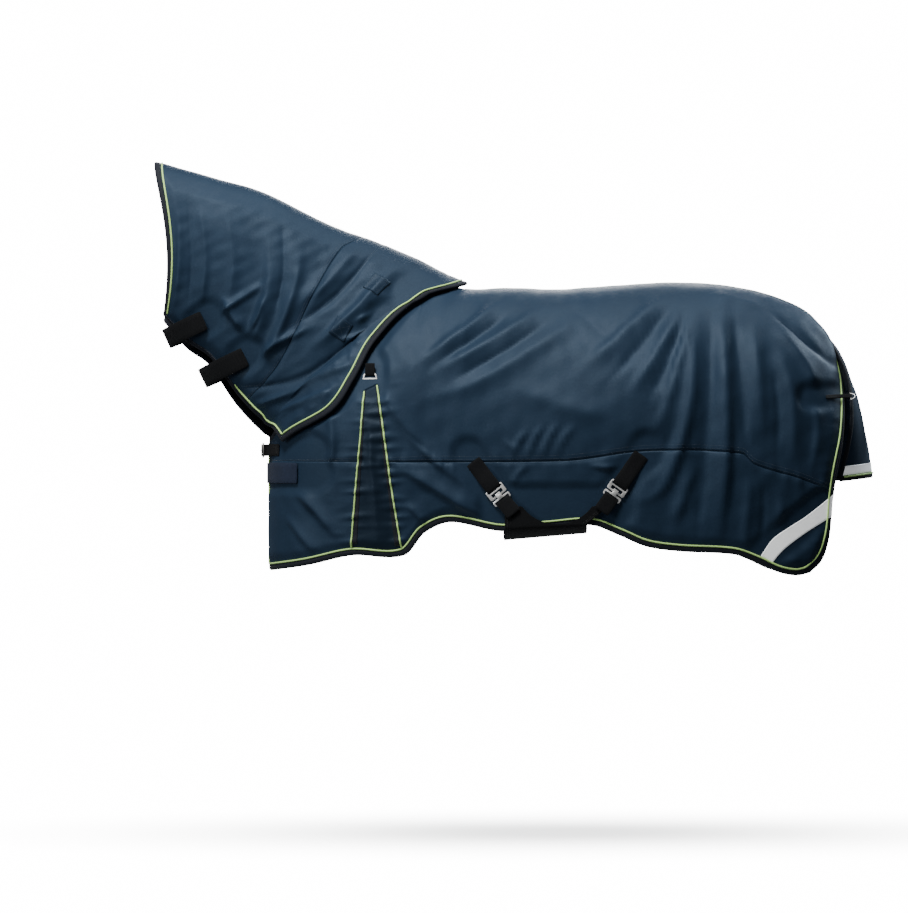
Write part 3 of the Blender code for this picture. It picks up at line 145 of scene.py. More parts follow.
# Folds in side view: name, points (x, z) along it, half width, height, and how far it leans
BODY_FOLDS = (
    ("croup fan, first", ((0.62, -0.03), (0.5, -0.13), (0.36, -0.25)), 0.03, 0.012, 0.3),
    ("croup fan, first hollow", ((0.64, -0.05), (0.545, -0.17), (0.43, -0.3)), 0.018, -0.01, 0),
    ("croup fan, second", ((0.66, -0.07), (0.6, -0.17), (0.5, -0.33)), 0.024, 0.012, 0.3),
    ("croup fan, second hollow", ((0.675, -0.08), (0.63, -0.2), (0.55, -0.36)), 0.015, -0.011, 0),
    ("croup fan, third", ((0.69, -0.07), (0.655, -0.2), (0.6, -0.38), (0.56, -0.45)), 0.02, 0.012,
     0.3),
    ("flank curl", ((0.71, -0.07), (0.695, -0.2), (0.685, -0.33), (0.655, -0.46), (0.6, -0.6),
                    (0.5, -0.655)), 0.025, 0.017, -0.2),
    ("flank curl hollow", ((0.64, -0.4), (0.6, -0.5), (0.54, -0.58)), 0.022, -0.01, 0),
    ("flank hollow", ((0.75, -0.09), (0.74, -0.3), (0.725, -0.5), (0.7, -0.78)), 0.025, -0.018, 0),
    ("flank ridge", ((0.785, -0.06), (0.79, -0.3), (0.79, -0.52), (0.765, -0.79)), 0.032, 0.019,
     -0.35),
    ("second flank hollow", ((0.815, -0.09), (0.835, -0.3), (0.85, -0.5)), 0.02, -0.015, 0),
    ("second flank ridge", ((0.87, -0.08), (0.89, -0.32), (0.895, -0.5)), 0.034, 0.012, -0.2),
    ("hip hollow", ((0.92, -0.08), (0.99, -0.135), (1.05, -0.19), (1.12, -0.25)), 0.016, -0.013, 0),
    ("hip ridge", ((0.92, -0.12), (0.98, -0.18), (1.035, -0.26), (1.06, -0.36)), 0.026, 0.011, 0.2),
    ("hip drop", ((0.95, -0.2), (0.985, -0.35), (0.985, -0.55)), 0.03, 0.01, 0.2),
    ("hip drop hollow", ((0.93, -0.24), (0.945, -0.38), (0.94, -0.5)), 0.02, -0.01, 0),
    ("quarter ridge", ((1.04, -0.3), (1.06, -0.42), (1.04, -0.56)), 0.026, 0.009, 0.3),
    ("withers fold, first", ((0.13, -0.04), (0.03, -0.12), (-0.14, -0.24)), 0.026, 0.014, 0.3),
    ("withers hollow, first", ((0.17, -0.07), (0.07, -0.14), (-0.1, -0.25)), 0.015, -0.009, 0),
    ("withers fold, second", ((0.25, -0.07), (0.1, -0.16), (-0.08, -0.26)), 0.026, 0.013, 0.3),
    ("withers hollow, second", ((0.28, -0.1), (0.14, -0.19), (-0.04, -0.29)), 0.015, -0.009, 0),
    ("withers fold, third", ((0.36, -0.1), (0.2, -0.2), (0.02, -0.3), (-0.12, -0.34)), 0.03,
     0.009, 0.2),
    ("shoulder drop", ((-0.24, -0.3), (-0.19, -0.4), (-0.1, -0.5), (0.02, -0.6)), 0.024, 0.012,
     0.3),
    ("shoulder hollow", ((-0.22, -0.36), (-0.16, -0.44), (-0.07, -0.51)), 0.016, -0.009, 0),
    ("shoulder roll", ((-0.2, -0.53), (-0.08, -0.6), (0.08, -0.7)), 0.03, 0.014, 0.35),
    ("shoulder roll, lower", ((-0.17, -0.64), (-0.11, -0.7), (-0.08, -0.73)), 0.018, 0.008, 0.2),
    ("barrel swell", ((0.14, -0.3), (0.3, -0.36), (0.48, -0.4)), 0.05, 0.008, 0.1),
    ("seam pucker, first", ((0.155, -0.512), (0.168, -0.47), (0.2, -0.425)), 0.0095, 0.009, 0.2),
    ("seam pucker, second", ((0.2, -0.512), (0.214, -0.465), (0.247, -0.41)), 0.0095, 0.01, 0.2),
    ("seam pucker, third", ((0.243, -0.512), (0.258, -0.46), (0.294, -0.4)), 0.0095, 0.01, 0.2),
    ("seam pucker, fourth", ((0.287, -0.51), (0.304, -0.46), (0.34, -0.41)), 0.0095, 0.008, 0.2),
    ("seam pucker, below", ((0.15, -0.6), (0.17, -0.56), (0.2, -0.53)), 0.012, 0.006, 0.2),
    ("strap pull, rear", ((0.38, -0.53), (0.43, -0.54), (0.48, -0.53)), 0.014, 0.007, 0.2),
    ("girth pucker", ((0.12, -0.45), (0.17, -0.5), (0.19, -0.56)), 0.012, 0.006, 0.2),
    ("girth curl, second", ((0.69, -0.54), (0.66, -0.63), (0.63, -0.72)), 0.02, 0.009, -0.2),
    ("hem wave, first", ((0.86, -0.56), (0.85, -0.68), (0.84, -0.79)), 0.024, 0.01, 0.1),
    ("hem wave hollow", ((0.9, -0.58), (0.9, -0.68), (0.89, -0.78)), 0.018, -0.007, 0),
    ("hem wave, second", ((0.95, -0.62), (0.95, -0.72), (0.93, -0.79)), 0.022, 0.008, -0.1),
    ("chest drop, first", ((-0.545, -0.44), (-0.535, -0.5)), 0.014, 0.007, 0.1),
    ("chest drop, second", ((-0.49, -0.42), (-0.48, -0.52), (-0.47, -0.6)), 0.018, 0.009, 0.1),
    ("chest hollow", ((-0.45, -0.4), (-0.44, -0.5), (-0.44, -0.6)), 0.016, -0.008, 0),
    ("chest roll", ((-0.5, -0.6), (-0.43, -0.67), (-0.36, -0.76)), 0.024, 0.012, 0.3),
    ("chest roll, lower", ((-0.52, -0.68), (-0.47, -0.75), (-0.43, -0.8)), 0.018, 0.008, 0.2),
    ("chest drop, third", ((-0.39, -0.34), (-0.38, -0.46), (-0.4, -0.56)), 0.02, 0.01, -0.2),
    ("gusset drop", ((-0.275, -0.36), (-0.265, -0.55), (-0.25, -0.76)), 0.02, 0.008, 0.2),
    ("saddle dip", ((0.32, -0.06), (0.42, -0.14), (0.5, -0.2)), 0.03, -0.007, 0),
    ("croup crease", ((0.74, -0.03), (0.86, -0.06), (0.94, -0.08)), 0.018, 0.005, 0.1),
    ("dock hollow", ((1.03, -0.1), (1.09, -0.17), (1.12, -0.27)), 0.024, 0.008, 0.4),
)
CREST_SEAM = ((-0.2, 0.165), (-0.25, 0.12), (-0.36, -0.01), (-0.44, -0.075), (-0.52, -0.12))
CROSS_SEAM = ((-0.255, -0.12), (-0.386, -0.212), (-0.459, -0.258), (-0.52, -0.28), (-0.6, -0.288),
              (-0.69, -0.288))
HOOD_FOLDS = (
    ("crest seam hollow", CREST_SEAM, 0.017, -0.012, 0),
    ("crest seam roll", ((-0.27, 0.19), (-0.33, 0.1), (-0.42, 0.0), (-0.53, -0.07)), 0.036, 0.013,
     -0.3),
    ("neck slope ridge", ((-0.2, 0.06), (-0.32, -0.07), (-0.46, -0.19)), 0.03, 0.012, 0.3),
    ("cross seam hollow", CROSS_SEAM, 0.013, -0.008, 0),
    ("cross seam roll", ((-0.3, -0.2), (-0.42, -0.28), (-0.55, -0.32)), 0.022, 0.009, 0.2),
    ("cheek drop, first", ((-0.86, 0.25), (-0.85, 0.1), (-0.86, -0.05)), 0.018, 0.009, 0.1),
    ("cheek hollow", ((-0.83, 0.27), (-0.815, 0.1), (-0.82, -0.04)), 0.014, -0.007, 0),
    ("cheek drop, second", ((-0.8, 0.27), (-0.77, 0.1), (-0.78, -0.06)), 0.02, 0.01, -0.2),
    ("cheek drop, third", ((-0.72, 0.24), (-0.69, 0.08), (-0.7, -0.05)), 0.022, 0.009, 0.2),
    ("throat vee, front", ((-0.72, -0.02), (-0.68, -0.09), (-0.645, -0.13)), 0.015, 0.011, 0.2),
    ("throat vee, rear", ((-0.59, -0.02), (-0.61, -0.08), (-0.64, -0.13)), 0.015, 0.01, -0.2),
    ("neck middle", ((-0.6, 0.2), (-0.58, 0.05), (-0.6, -0.1), (-0.66, -0.2)), 0.03, 0.012, 0.2),
    ("neck middle hollow", ((-0.55, 0.2), (-0.54, 0.05), (-0.56, -0.08)), 0.018, -0.009, 0),
    ("neck middle, rear", ((-0.49, 0.14), (-0.5, 0.02), (-0.55, -0.14), (-0.62, -0.24)), 0.026,
     0.011, -0.2),
    ("throat strap pull, front", ((-0.76, -0.1), (-0.68, -0.04), (-0.58, 0.02)), 0.015, 0.009, 0.2),
    ("throat strap pull, rear", ((-0.62, -0.21), (-0.54, -0.16), (-0.45, -0.12)), 0.015, 0.01,
     0.2),
    ("piping wrinkle, first", ((-0.22, -0.06), (-0.28, -0.09), (-0.33, -0.11)), 0.011, 0.007, 0.1),
    ("piping wrinkle, second", ((-0.25, -0.12), (-0.31, -0.15), (-0.37, -0.16)), 0.012, 0.007, 0.1),
    ("piping wrinkle, third", ((-0.29, -0.24), (-0.35, -0.26), (-0.42, -0.29)), 0.012, 0.006, 0.1),
    ("collar roll", ((-0.36, -0.31), (-0.45, -0.35), (-0.54, -0.37)), 0.016, 0.008, 0.2),
    ("collar roll, upper", ((-0.5, -0.31), (-0.58, -0.33), (-0.63, -0.34)), 0.014, 0.006, 0.2),
)
FLAP_FOLDS = (
    ("flap drop, left", ((0.3, 0.35), (0.6, 0.4), (0.88, 0.42)), 0.1, 0.006, 0.2),
    ("flap drop, right", ((0.3, -0.35), (0.6, -0.42), (0.88, -0.46)), 0.1, 0.006, -0.2),
    ("flap middle", ((0.12, 0.0), (0.4, 0.02), (0.7, 0.0)), 0.12, 0.004, 0),
)
# Places that stay flat: two ends (x, z) and the radius round the line between them
KEPT_FLAT = ((-0.27, -0.235, -0.27, -0.3, 0.028), (1.04, -0.33, 1.15, -0.33, 0.02),
             (1.085, -0.65, 0.905, -0.8, 0.035), (-0.6, -0.487, -0.44, -0.487, 0.03),
             (-0.6, -0.556, -0.44, -0.556, 0.04), (0.12, -0.66, 0.45, -0.66, 0.05),
             (0.02, -0.5, 0.13, -0.66, 0.03), (0.55, -0.48, 0.43, -0.66, 0.03))
FLAT_ON_HOOD = ((-0.13, 0.0, -0.17, -0.02, 0.035), (-0.23, -0.1, -0.245, -0.13, 0.035),
                (-0.78, -0.094, -0.76, -0.08, 0.03), (-0.655, -0.205, -0.64, -0.19, 0.03))
# How far the shell stands off its resting surface, and how low a hollow may bring it
SLACK, HOOD_SLACK = 0.009, 0.007
SHELL_FLOOR, HOOD_FLOOR, SOFT_LANDING = 0.0004, 0.0003, 1500
# The neck cover's folds: their share low down, the change to higher up, and where it starts
HOOD_FOLD_SHARE, HOOD_FOLD_Z, HOOD_FOLD_SPAN = (1.5, 0.5), -0.1, 0.2
RIDGE_SHARPNESS, HOLLOW_SHARPNESS = 1.7, 1.2
# Soft waves between the folds: height, squash down the cloth, size and seed
BODY_WAVES = ((0.0026, 0.6, 0.16, 5), (0.0011, 1, 0.06, 11))
HOOD_WAVES = ((0.0022, 0.7, 0.13, 21), (0.0009, 1, 0.05, 23))
FAR_SIDE_SHIFT = 0.012
# Puckers beside a seam: height, reach, spacing and seed
SEAM_PUCKERS, EDGE_PUCKERS = (0.0038, 0.03, 0.032, 3), (0.006, 0.026, 0.026, 7)
COLLAR_PUCKERS = (0.007, 0.05, 0.03, 31)
SEAM_LAP_DEPTH, SEAM_LAP_REACH = 0.003, 0.007
GUSSET_LINES = (((-0.275, -0.3), (-0.33, -0.8)), ((-0.253, -0.3), (-0.178, -0.79)))


def along(points, x, value=1):
    """A smooth line through the points, level beyond both ends, at every x."""
    table = np.array(points, float)
    xs, ys = table[:, 0], table[:, value]
    x = np.clip(np.asarray(x, float), xs[0], xs[-1])
    last = len(xs) - 2
    i = np.clip(np.searchsorted(xs, x, side="right") - 1, 0, last)
    before, after = np.maximum(i - 1, 0), np.minimum(i + 2, len(xs) - 1)
    span = xs[i + 1] - xs[i]
    t = (x - xs[i]) / span
    left = (ys[i + 1] - ys[before]) / (xs[i + 1] - xs[before])
    right = (ys[after] - ys[i]) / (xs[after] - xs[i])
    rise = t * t * (3 - 2 * t)
    return (ys[i] + (ys[i + 1] - ys[i]) * rise + span * left * t * (1 - t) ** 2
            - span * right * t * t * (1 - t))


def mix(a, b, t):
    return a + (b - a) * t


def ease(t):
    t = np.clip(t, 0, 1)
    return t * t * (3 - 2 * t)


def round_share(t):
    return np.sqrt(np.maximum(1 - (1 - np.clip(t, 0, 1)) ** 2, 0))


def half_width(x, z):
    """Half the width of the form at a point of its side view."""
    crest = along(CREST, x)
    t = np.clip((crest - z) / (crest - along(THROAT, x)), 0, 1)
    neck = along(NECK_HALF_WIDTH, x) * np.sqrt(4 * t * (1 - t))
    reach = CHEST_HALF_WIDTH * round_share((x - CHEST_X) / CHEST_REACH)
    body = np.where(x < CHEST_X + CHEST_REACH, reach, along(BODY_HALF_WIDTH, x))
    top = np.where(x < 0, along(BODY_TOP, x), crest)
    body = body * round_share((top - z) / along(BODY_ROUND, x))
    return (neck ** JOIN_POWER + body ** JOIN_POWER) ** (1 / JOIN_POWER)


def rolled(length):
    return np.sqrt(length * length + UNROLL * UNROLL) - UNROLL


def unrolled(distance):
    return np.sqrt(np.maximum((distance + UNROLL) ** 2 - UNROLL * UNROLL, 0))


def q_of(x):
    return unrolled(x - CHEST_X)


def s_of(x, z):
    return unrolled(along(CREST, x) - z)


def bare_skin(q, s):
    x = CHEST_X + rolled(q)
    z = along(CREST, x) - rolled(s)
    side = np.where((q < 0) == (s < 0), LEFT, RIGHT)
    return np.stack([x, side * half_width(x, z), z], axis=-1)


def unit(vectors):
    return vectors / np.maximum(np.linalg.norm(vectors, axis=-1, keepdims=True), 1e-12)


def outward(surface, u, v, step=0.004):
    across = surface(u + step, v) - surface(u - step, v)
    down = surface(u, v + step) - surface(u, v - step)
    return unit(np.cross(down, across))


def lifted(surface, u, v, lift, step=0.004):
    """Points of the surface raised along its outward normal."""
    return surface(u, v) + outward(surface, u, v, step) * np.reshape(lift, (-1, 1))


def bare_hood(a, phi):
    share = (1 - np.cos(phi)) / 2
    top_x, low_x = mix(POLL_X, WITHERS_X, a), mix(THROAT_X, HOOD_CORNER_X, a)
    x = mix(top_x, low_x, share) + HOOD_FRONT_BULGE * (1 - a) * np.sin(math.pi * share)
    x = x + along(HOOD_REAR_SHIFT, share) * np.maximum(a, 0) ** 2
    z = mix(along(CREST, top_x), along(THROAT, low_x), share)
    return np.stack([x, np.where(phi >= 0, LEFT, RIGHT) * half_width(x, z), z], axis=-1)


def hood(a, phi, lift):
    raised = HOOD_REAR_RAISE * np.maximum(a - HOOD_RAISE_FROM, 0) / (1 - HOOD_RAISE_FROM)
    return lifted(bare_hood, a, phi, lift + raised)


def bare_flap(a, b):
    x, z = along(FLAP_LINE, a, 1), along(FLAP_LINE, a, 2)
    wide = math.radians(80)
    turn = b * wide
    slope = along(FLAP_DEPTH, a) * (1 - np.cos(turn)) / (1 - math.cos(wide))
    side = np.sin(turn) / math.sin(wide)
    return np.stack([x - slope, -side * along(FLAP_HALF_WIDTH, a),
                     z - slope * along(FLAP_LEAN, a)], axis=-1)


def flap(a, b, lift):
    return lifted(bare_flap, a, b, lift, 0.01)


# Folds


def nearest_on(line, x, y):
    """(signed distance, share of its length) from points to a line of (x, y) corners."""
    line = np.array(line, float)
    lengths = np.linalg.norm(np.diff(line, axis=0), axis=1)
    starts = np.concatenate([[0], np.cumsum(lengths)])
    best = np.full(np.shape(x), 9.0)
    share = np.zeros(np.shape(x))
    signed = np.full(np.shape(x), 9.0)
    for k, length in enumerate(lengths):
        way = (line[k + 1] - line[k]) / length
        dx, dy = x - line[k, 0], y - line[k, 1]
        t = np.clip(dx * way[0] + dy * way[1], 0, length)
        away = np.hypot(dx - t * way[0], dy - t * way[1])
        closer = away < best
        best = np.where(closer, away, best)
        side = np.where(way[0] * dy - way[1] * dx >= 0, 1, -1)
        signed = np.where(closer, away * side, signed)
        share = np.where(closer, (starts[k] + t) / starts[-1], share)
    return signed, share


def smooth_line(line, pieces=6):
    """The same line with rounded corners."""
    run = np.array([np.multiply(line[0], 2) - line[1], *line, np.multiply(line[-1], 2) - line[-2]])
    found = []
    for k in range(1, len(run) - 2):
        a, b, c, d = run[k - 1:k + 3]
        for t in np.arange(pieces) / pieces:
            found.append(0.5 * (2 * b + (c - a) * t + (2 * a - 5 * b + 4 * c - d) * t ** 2
                                + (3 * b - a - 3 * c + d) * t ** 3))
    return [*found, np.array(line[-1], float)]


def fold_height(folds, x, y):
    """How far the folds raise the fabric at each point of their flat view."""
    total = np.zeros(np.shape(x))
    for _, line, wide, height, lean in folds:
        sharpness = RIDGE_SHARPNESS if height > 0 else HOLLOW_SHARPNESS
        away, share = nearest_on(smooth_line(line), x, y)
        span = wide * np.where(away > 0, 1 + lean, 1 - lean)
        bump = np.exp(-1.9 * np.abs(away / span) ** sharpness)
        taper = ease(share / 0.3) * ease((1 - share) / 0.35)
        total += height * bump * (0.12 + 0.88 * taper) * (np.abs(away) < 3 * wide)
    return total


def ripple(x, z, size, seed):
    """Soft uneven waves between -1 and 1, about size apart."""
    rng = np.random.default_rng(seed)
    total = np.zeros(np.shape(x))
    for _ in range(7):
        angle, phase = rng.uniform(0, math.pi), rng.uniform(0, 6.3)
        scale = rng.uniform(0.7, 1.5)
        total += np.sin((x * math.cos(angle) + z * math.sin(angle)) * 6.283 / size / scale + phase)
    return total / 3.5


def puckers(x, z, size, seed):
    """Short waves between 0 and 1, where a seam draws the cloth up."""
    return ease((ripple(x, z, size, seed) + 0.3) / 1.2)


def settled(height, floor):
    """The height, levelling off softly where it would sink under the floor."""
    return floor + np.logaddexp(0, (height - floor) * SOFT_LANDING) / SOFT_LANDING


def kept_flat(places, x, z, edge=0.035):
    free = np.ones(np.shape(x))
    for x0, z0, x1, z1, radius in places:
        away, _ = nearest_on(((x0, z0), (x1, z1)), x, z)
        free *= ease((np.abs(away) - radius) / edge)
    return free


HOOD_SHARES = np.linspace(0, 1, 60)
HOOD_REAR = bare_hood(np.ones(60), np.arccos(1 - 2 * HOOD_SHARES))


def clear_of_hood(x, z):
    """0 under the neck cover, 1 behind it."""
    order = np.argsort(HOOD_REAR[:, 2])
    edge_x = np.interp(z, HOOD_REAR[order, 2], HOOD_REAR[order, 0])
    under = (z > HOOD_REAR[order[0], 2]) * 1.0
    return 1 - under * (1 - ease((x - edge_x - 0.012) / 0.04))


def body_relief(s, x, z, side, columns, rows):
    """Height of the shell's folds, puckers and lapped seam over its resting surface."""
    own = ease(s / 0.12)
    shift = FAR_SIDE_SHIFT * own * (side == RIGHT)
    fx, fz = x + shift * np.sin(7 * z + 1), z + shift * np.sin(5 * x)
    height = SLACK + fold_height(BODY_FOLDS, fx, fz)
    for wave, squash, size, seed in BODY_WAVES:
        shared, own_side = (ripple(fx, fz * squash, size, k) for k in (seed, seed + side))
        height += wave * mix(shared, own_side, own)
    near = np.abs(z - along(SEAM, x))
    rise, reach, size, seed = SEAM_PUCKERS
    height += rise * puckers(fx, fz * 0.2, size, seed + side) * np.exp(-near / reach)
    height -= SEAM_LAP_DEPTH * np.exp(-(near / SEAM_LAP_REACH) ** 2)
    rise, reach, size, seed = EDGE_PUCKERS
    rungs = rise * puckers(fx * 0.2, fz, size, seed + side)
    rear_line = [(edge_x, along(CREST, 1.0) - share) for share, edge_x in REAR[1:]]
    for line in (*GUSSET_LINES, rear_line):
        height += rungs * np.exp(-np.abs(nearest_on(line, x, z)[0]) / reach)
    edges = np.minimum.reduce([
        ease((columns[1] - columns[0]) / 0.03), ease((columns[2] - columns[1]) / 0.035),
        ease(rows / 0.04)])
    spine = 0.35 + 0.65 * ease(s / 0.1)
    height = height * kept_flat(KEPT_FLAT, x, z) * edges * spine * clear_of_hood(x, z)
    return settled(height, SHELL_FLOOR)


def grid_line(number, v):
    low = np.maximum(v - TOP_ROWS / ROWS, 0) / (1 - TOP_ROWS / ROWS)
    if number == 0:
        return np.full(np.shape(v), FLAP_EDGE_Q)
    if number == 4:
        return q_of(along(REAR, v))
    ends = (GUSSET_FRONT_X, GUSSET_REAR_X, BEHIND_NECKLINE_X)[number - 1]
    return q_of(mix(*ends, low))


def grid_qs(i, j):
    """Unrolled position of a point of the rug's pattern grid."""
    i, j = np.asarray(i, float), np.asarray(j, float)
    v = j / ROWS
    q = np.zeros(np.shape(i))
    start = 0
    for number, count in enumerate(STATIONS):
        share = np.clip((i - start) / count, 0, 1)
        if number == 3:
            share = share - END_CROWDING * np.sin(2 * math.pi * share)
        here = mix(grid_line(number, v), grid_line(number + 1, v), share)
        q = np.where(i >= start, here, q)
        start += count
    x = CHEST_X + rolled(q)
    top = np.where(i >= NECKLINE_COLUMN - 1e-6, 0.0, s_of(x, along(NECKLINE, x)))
    seam, hem = s_of(x, along(SEAM, x)), s_of(x, along(HEM, x))
    low = mix(seam, hem, (j - SEAM_ROW) / (ROWS - SEAM_ROW))
    return q, np.where(j >= SEAM_ROW, low, mix(top, seam, j / SEAM_ROW))


def shell_point(i, j, side, lift=SHELL_LIFT, folded=True):
    """Points of the rug's shell at places of its pattern grid, with their heights of fold."""
    q, s = grid_qs(i, j)
    base = bare_skin(q, s)
    x, z = base[..., 0], base[..., 2]
    height = np.zeros(np.shape(x))
    if folded:
        top = np.where(np.asarray(i) >= NECKLINE_COLUMN, -1.0, s_of(x, along(NECKLINE, x)))
        rows = np.minimum(s_of(x, along(HEM, x)) - s, np.where(top < 0, 1.0, s - top))
        columns = (np.full(np.shape(q), FLAP_EDGE_Q), q, grid_line(4, np.asarray(j) / ROWS))
        height = body_relief(s, x, z, side, columns, rows)
    point = lifted(bare_skin, q, s, lift + height)
    point[..., 1] = np.where(s <= 1e-9, 0, -np.abs(point[..., 1])) * (-side)
    return point


def hood_point(a, phi, lift=HOOD_SHELL_LIFT, folded=True):
    base = bare_hood(a, phi)
    x, z = base[..., 0], base[..., 2]
    height = np.zeros(np.shape(x))
    if folded:
        side = np.where(phi >= 0, 0, FAR_SIDE_SHIFT)
        fx, fz = x + side * np.sin(6 * z), z + side
        share = mix(*HOOD_FOLD_SHARE, ease((z - HOOD_FOLD_Z) / HOOD_FOLD_SPAN))
        height = HOOD_SLACK + share * fold_height(HOOD_FOLDS, fx, fz)
        for wave, squash, size, seed in HOOD_WAVES:
            height += wave * ripple(fx, fz * squash, size, seed)
        rise, reach, size, seed = COLLAR_PUCKERS
        height += rise * puckers(fx, fz, size, seed) * np.exp(-np.abs(1 - a) / reach)
        span = (z - along(CREST, x)) ** 2
        edges = np.minimum.reduce([
            ease(a / 0.05), ease((1 - a) / 0.04), ease((HOOD_NEAR_EDGE - phi) / 0.22),
            ease((phi + HOOD_FAR_EDGE) / 0.22), 0.3 + 0.7 * ease(span / 0.004)])
        lap = np.exp(-((a - HOOD_SEAM_A) / 0.012) ** 2)
        height = height * kept_flat(FLAT_ON_HOOD, x, z) * edges * (1 - 0.3 * lap)
        height = settled(height, HOOD_FLOOR)
    return hood(a, phi, lift + height)


# Building pieces


def only(obj):
    bpy.ops.object.select_all(action="DESELECT")
    obj.select_set(True)
    bpy.context.view_layer.objects.active = obj


def apply(obj, kind, **settings):
    """Adds a modifier, sets it and applies it."""
    only(obj)
    modifier = obj.modifiers.new(kind.lower(), kind)
    for name, value in settings.items():
        setattr(modifier, name, value)
    bpy.ops.object.modifier_apply(modifier=modifier.name)


def cloth(name, columns, rows, place, lay=None, drop=None, thick=0.0, weld=False):
    """A grid laid by place(u, v), each from 0 to 1, with its flat position kept as its UV."""
    bpy.ops.object.select_all(action="DESELECT")
    bpy.ops.mesh.primitive_grid_add(x_subdivisions=columns, y_subdivisions=rows, size=2)
    obj = bpy.context.object
    obj.name = obj.data.name = name
    data = obj.data
    flat = np.empty(len(data.vertices) * 3)
    data.vertices.foreach_get("co", flat)
    flat = (flat.reshape(-1, 3) + 1) / 2
    u, v = flat[:, 0], flat[:, 1]
    points = place(u, v)
    data.vertices.foreach_set("co", np.ascontiguousarray(points, dtype=float).ravel())
    while data.uv_layers:
        data.uv_layers.remove(data.uv_layers[0])
    layer = data.uv_layers.new(name="cloth")
    laid = lay(u, v) if lay else (u, v)
    loops = np.empty(len(data.loops), np.int32)
    data.loops.foreach_get("vertex_index", loops)
    pairs = np.stack([np.broadcast_to(laid[0], u.shape), np.broadcast_to(laid[1], u.shape)], 1)
    layer.data.foreach_set("uv", pairs[loops].astype(np.float32).ravel())
    work = bmesh.new()
    work.from_mesh(data)
    if drop:
        work.verts.ensure_lookup_table()
        doomed = [f for f in work.faces
                  if drop(np.mean([u[c.index] for c in f.verts]),
                          np.mean([v[c.index] for c in f.verts]))]
        bmesh.ops.delete(work, geom=doomed, context="FACES")
    if weld:
        bmesh.ops.remove_doubles(work, verts=work.verts, dist=0.00003)
        bmesh.ops.recalc_face_normals(work, faces=work.faces)
    work.to_mesh(data)
    work.free()
    if thick:
        apply(obj, "SOLIDIFY", thickness=thick, offset=0.0)
    data.shade_smooth()
    return obj


def joined(name, pieces, weld=0.0001):
    bpy.ops.object.select_all(action="DESELECT")
    for piece in pieces:
        piece.select_set(True)
    bpy.context.view_layer.objects.active = pieces[0]
    if len(pieces) > 1:
        bpy.ops.object.join()
    obj = bpy.context.view_layer.objects.active
    obj.name = obj.data.name = name
    if weld:
        work = bmesh.new()
        work.from_mesh(obj.data)
        bmesh.ops.remove_doubles(work, verts=work.verts, dist=weld)
        work.to_mesh(obj.data)
        work.free()
    return obj


def finished(obj, look, body, nodes=()):
    obj.data.materials.clear()
    obj.data.materials.append(look)
    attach(obj, body)
    if nodes:
        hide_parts(*nodes)
    return obj


def path_frames(points, closed):
    """Directions along a path, and two across it that don't twist."""
    count = len(points)
    if closed:
        ahead = unit(np.roll(points, -1, 0) - np.roll(points, 1, 0))
    else:
        ahead = unit(np.gradient(points, axis=0))
    side = np.cross(ahead[0], (0.0, 0.3, 1.0))
    if np.linalg.norm(side) < 0.1:
        side = np.cross(ahead[0], (1.0, 0.0, 0.0))
    sides = []
    for k in range(count):
        side = side - ahead[k] * side.dot(ahead[k])
        side = side / np.linalg.norm(side)
        sides.append(side)
    sides = np.array(sides)
    return sides, np.cross(ahead, sides)


def resampled(points, step):
    points = np.asarray(points, float)
    lengths = np.concatenate([[0], np.cumsum(np.linalg.norm(np.diff(points, axis=0), axis=1))])
    count = max(int(lengths[-1] / step), 2)
    at = np.linspace(0, lengths[-1], count + 1)
    return np.stack([np.interp(at, lengths, points[:, k]) for k in range(3)], 1), lengths[-1]


def cord_piece(name, points, radius, step=0.004, around=10):
    """A round piping along a path, with closed ends."""
    points, length = resampled(points, step)
    a, b = path_frames(points, False)
    count = len(points) - 1

    def place(u, v):
        k = np.round(u * count).astype(int)
        turn = v * 2 * math.pi
        thin = np.where((k == 0) | (k == count), 0.0, radius)
        return points[k] + (a[k] * np.cos(turn)[:, None] + b[k] * np.sin(turn)[:, None]) \
            * thin[:, None]

    def lay(u, v):
        return u * length, v * 2 * math.pi * radius

    return cloth(name, count, around, place, lay, weld=True)


def channel(name, edge, out, up, section):
    """A binding of the given section (out, up) along an edge."""
    count = len(edge) - 1
    section = np.array(section + section[:1], float)
    across = len(section) - 1
    lengths = np.concatenate([[0], np.cumsum(np.linalg.norm(np.diff(edge, axis=0), axis=1))])
    girth = np.concatenate([[0], np.cumsum(np.linalg.norm(np.diff(section, axis=0), axis=1))])

    def place(u, v):
        k, m = np.round(u * count).astype(int), np.round(v * across).astype(int)
        return edge[k] + out[k] * section[m, 0:1] + up[k] * section[m, 1:2]

    def lay(u, v):
        k, m = np.round(u * count).astype(int), np.round(v * across).astype(int)
        return lengths[k], girth[m]

    return cloth(name, count, across, place, lay, weld=True)


STITCH_RINGS = ((-0.3, 0.8), (0.0, 1.0), (0.3, 0.8))


def thread_lozenge(sides=5):
    """Points and faces of one stitch of unit length and radius, pointed at both ends."""
    points = [(-0.5, 0, 0)]
    for forward, wide in STITCH_RINGS:
        turns = [2 * math.pi * k / sides for k in range(sides)]
        points += [(forward, math.cos(turn) * wide, math.sin(turn) * wide) for turn in turns]
    points.append((0.5, 0, 0))
    tip, faces = len(points) - 1, []
    for k in range(sides):
        after = (k + 1) % sides
        faces.append((0, 1 + k, 1 + after, 1 + after))
        for low in range(1, tip - sides, sides):
            high = low + sides
            faces.append((low + k, high + k, high + after, low + after))
        last = tip - sides
        faces.append((last + k, tip, last + after, last + after))
    return np.array(points), np.array(faces)


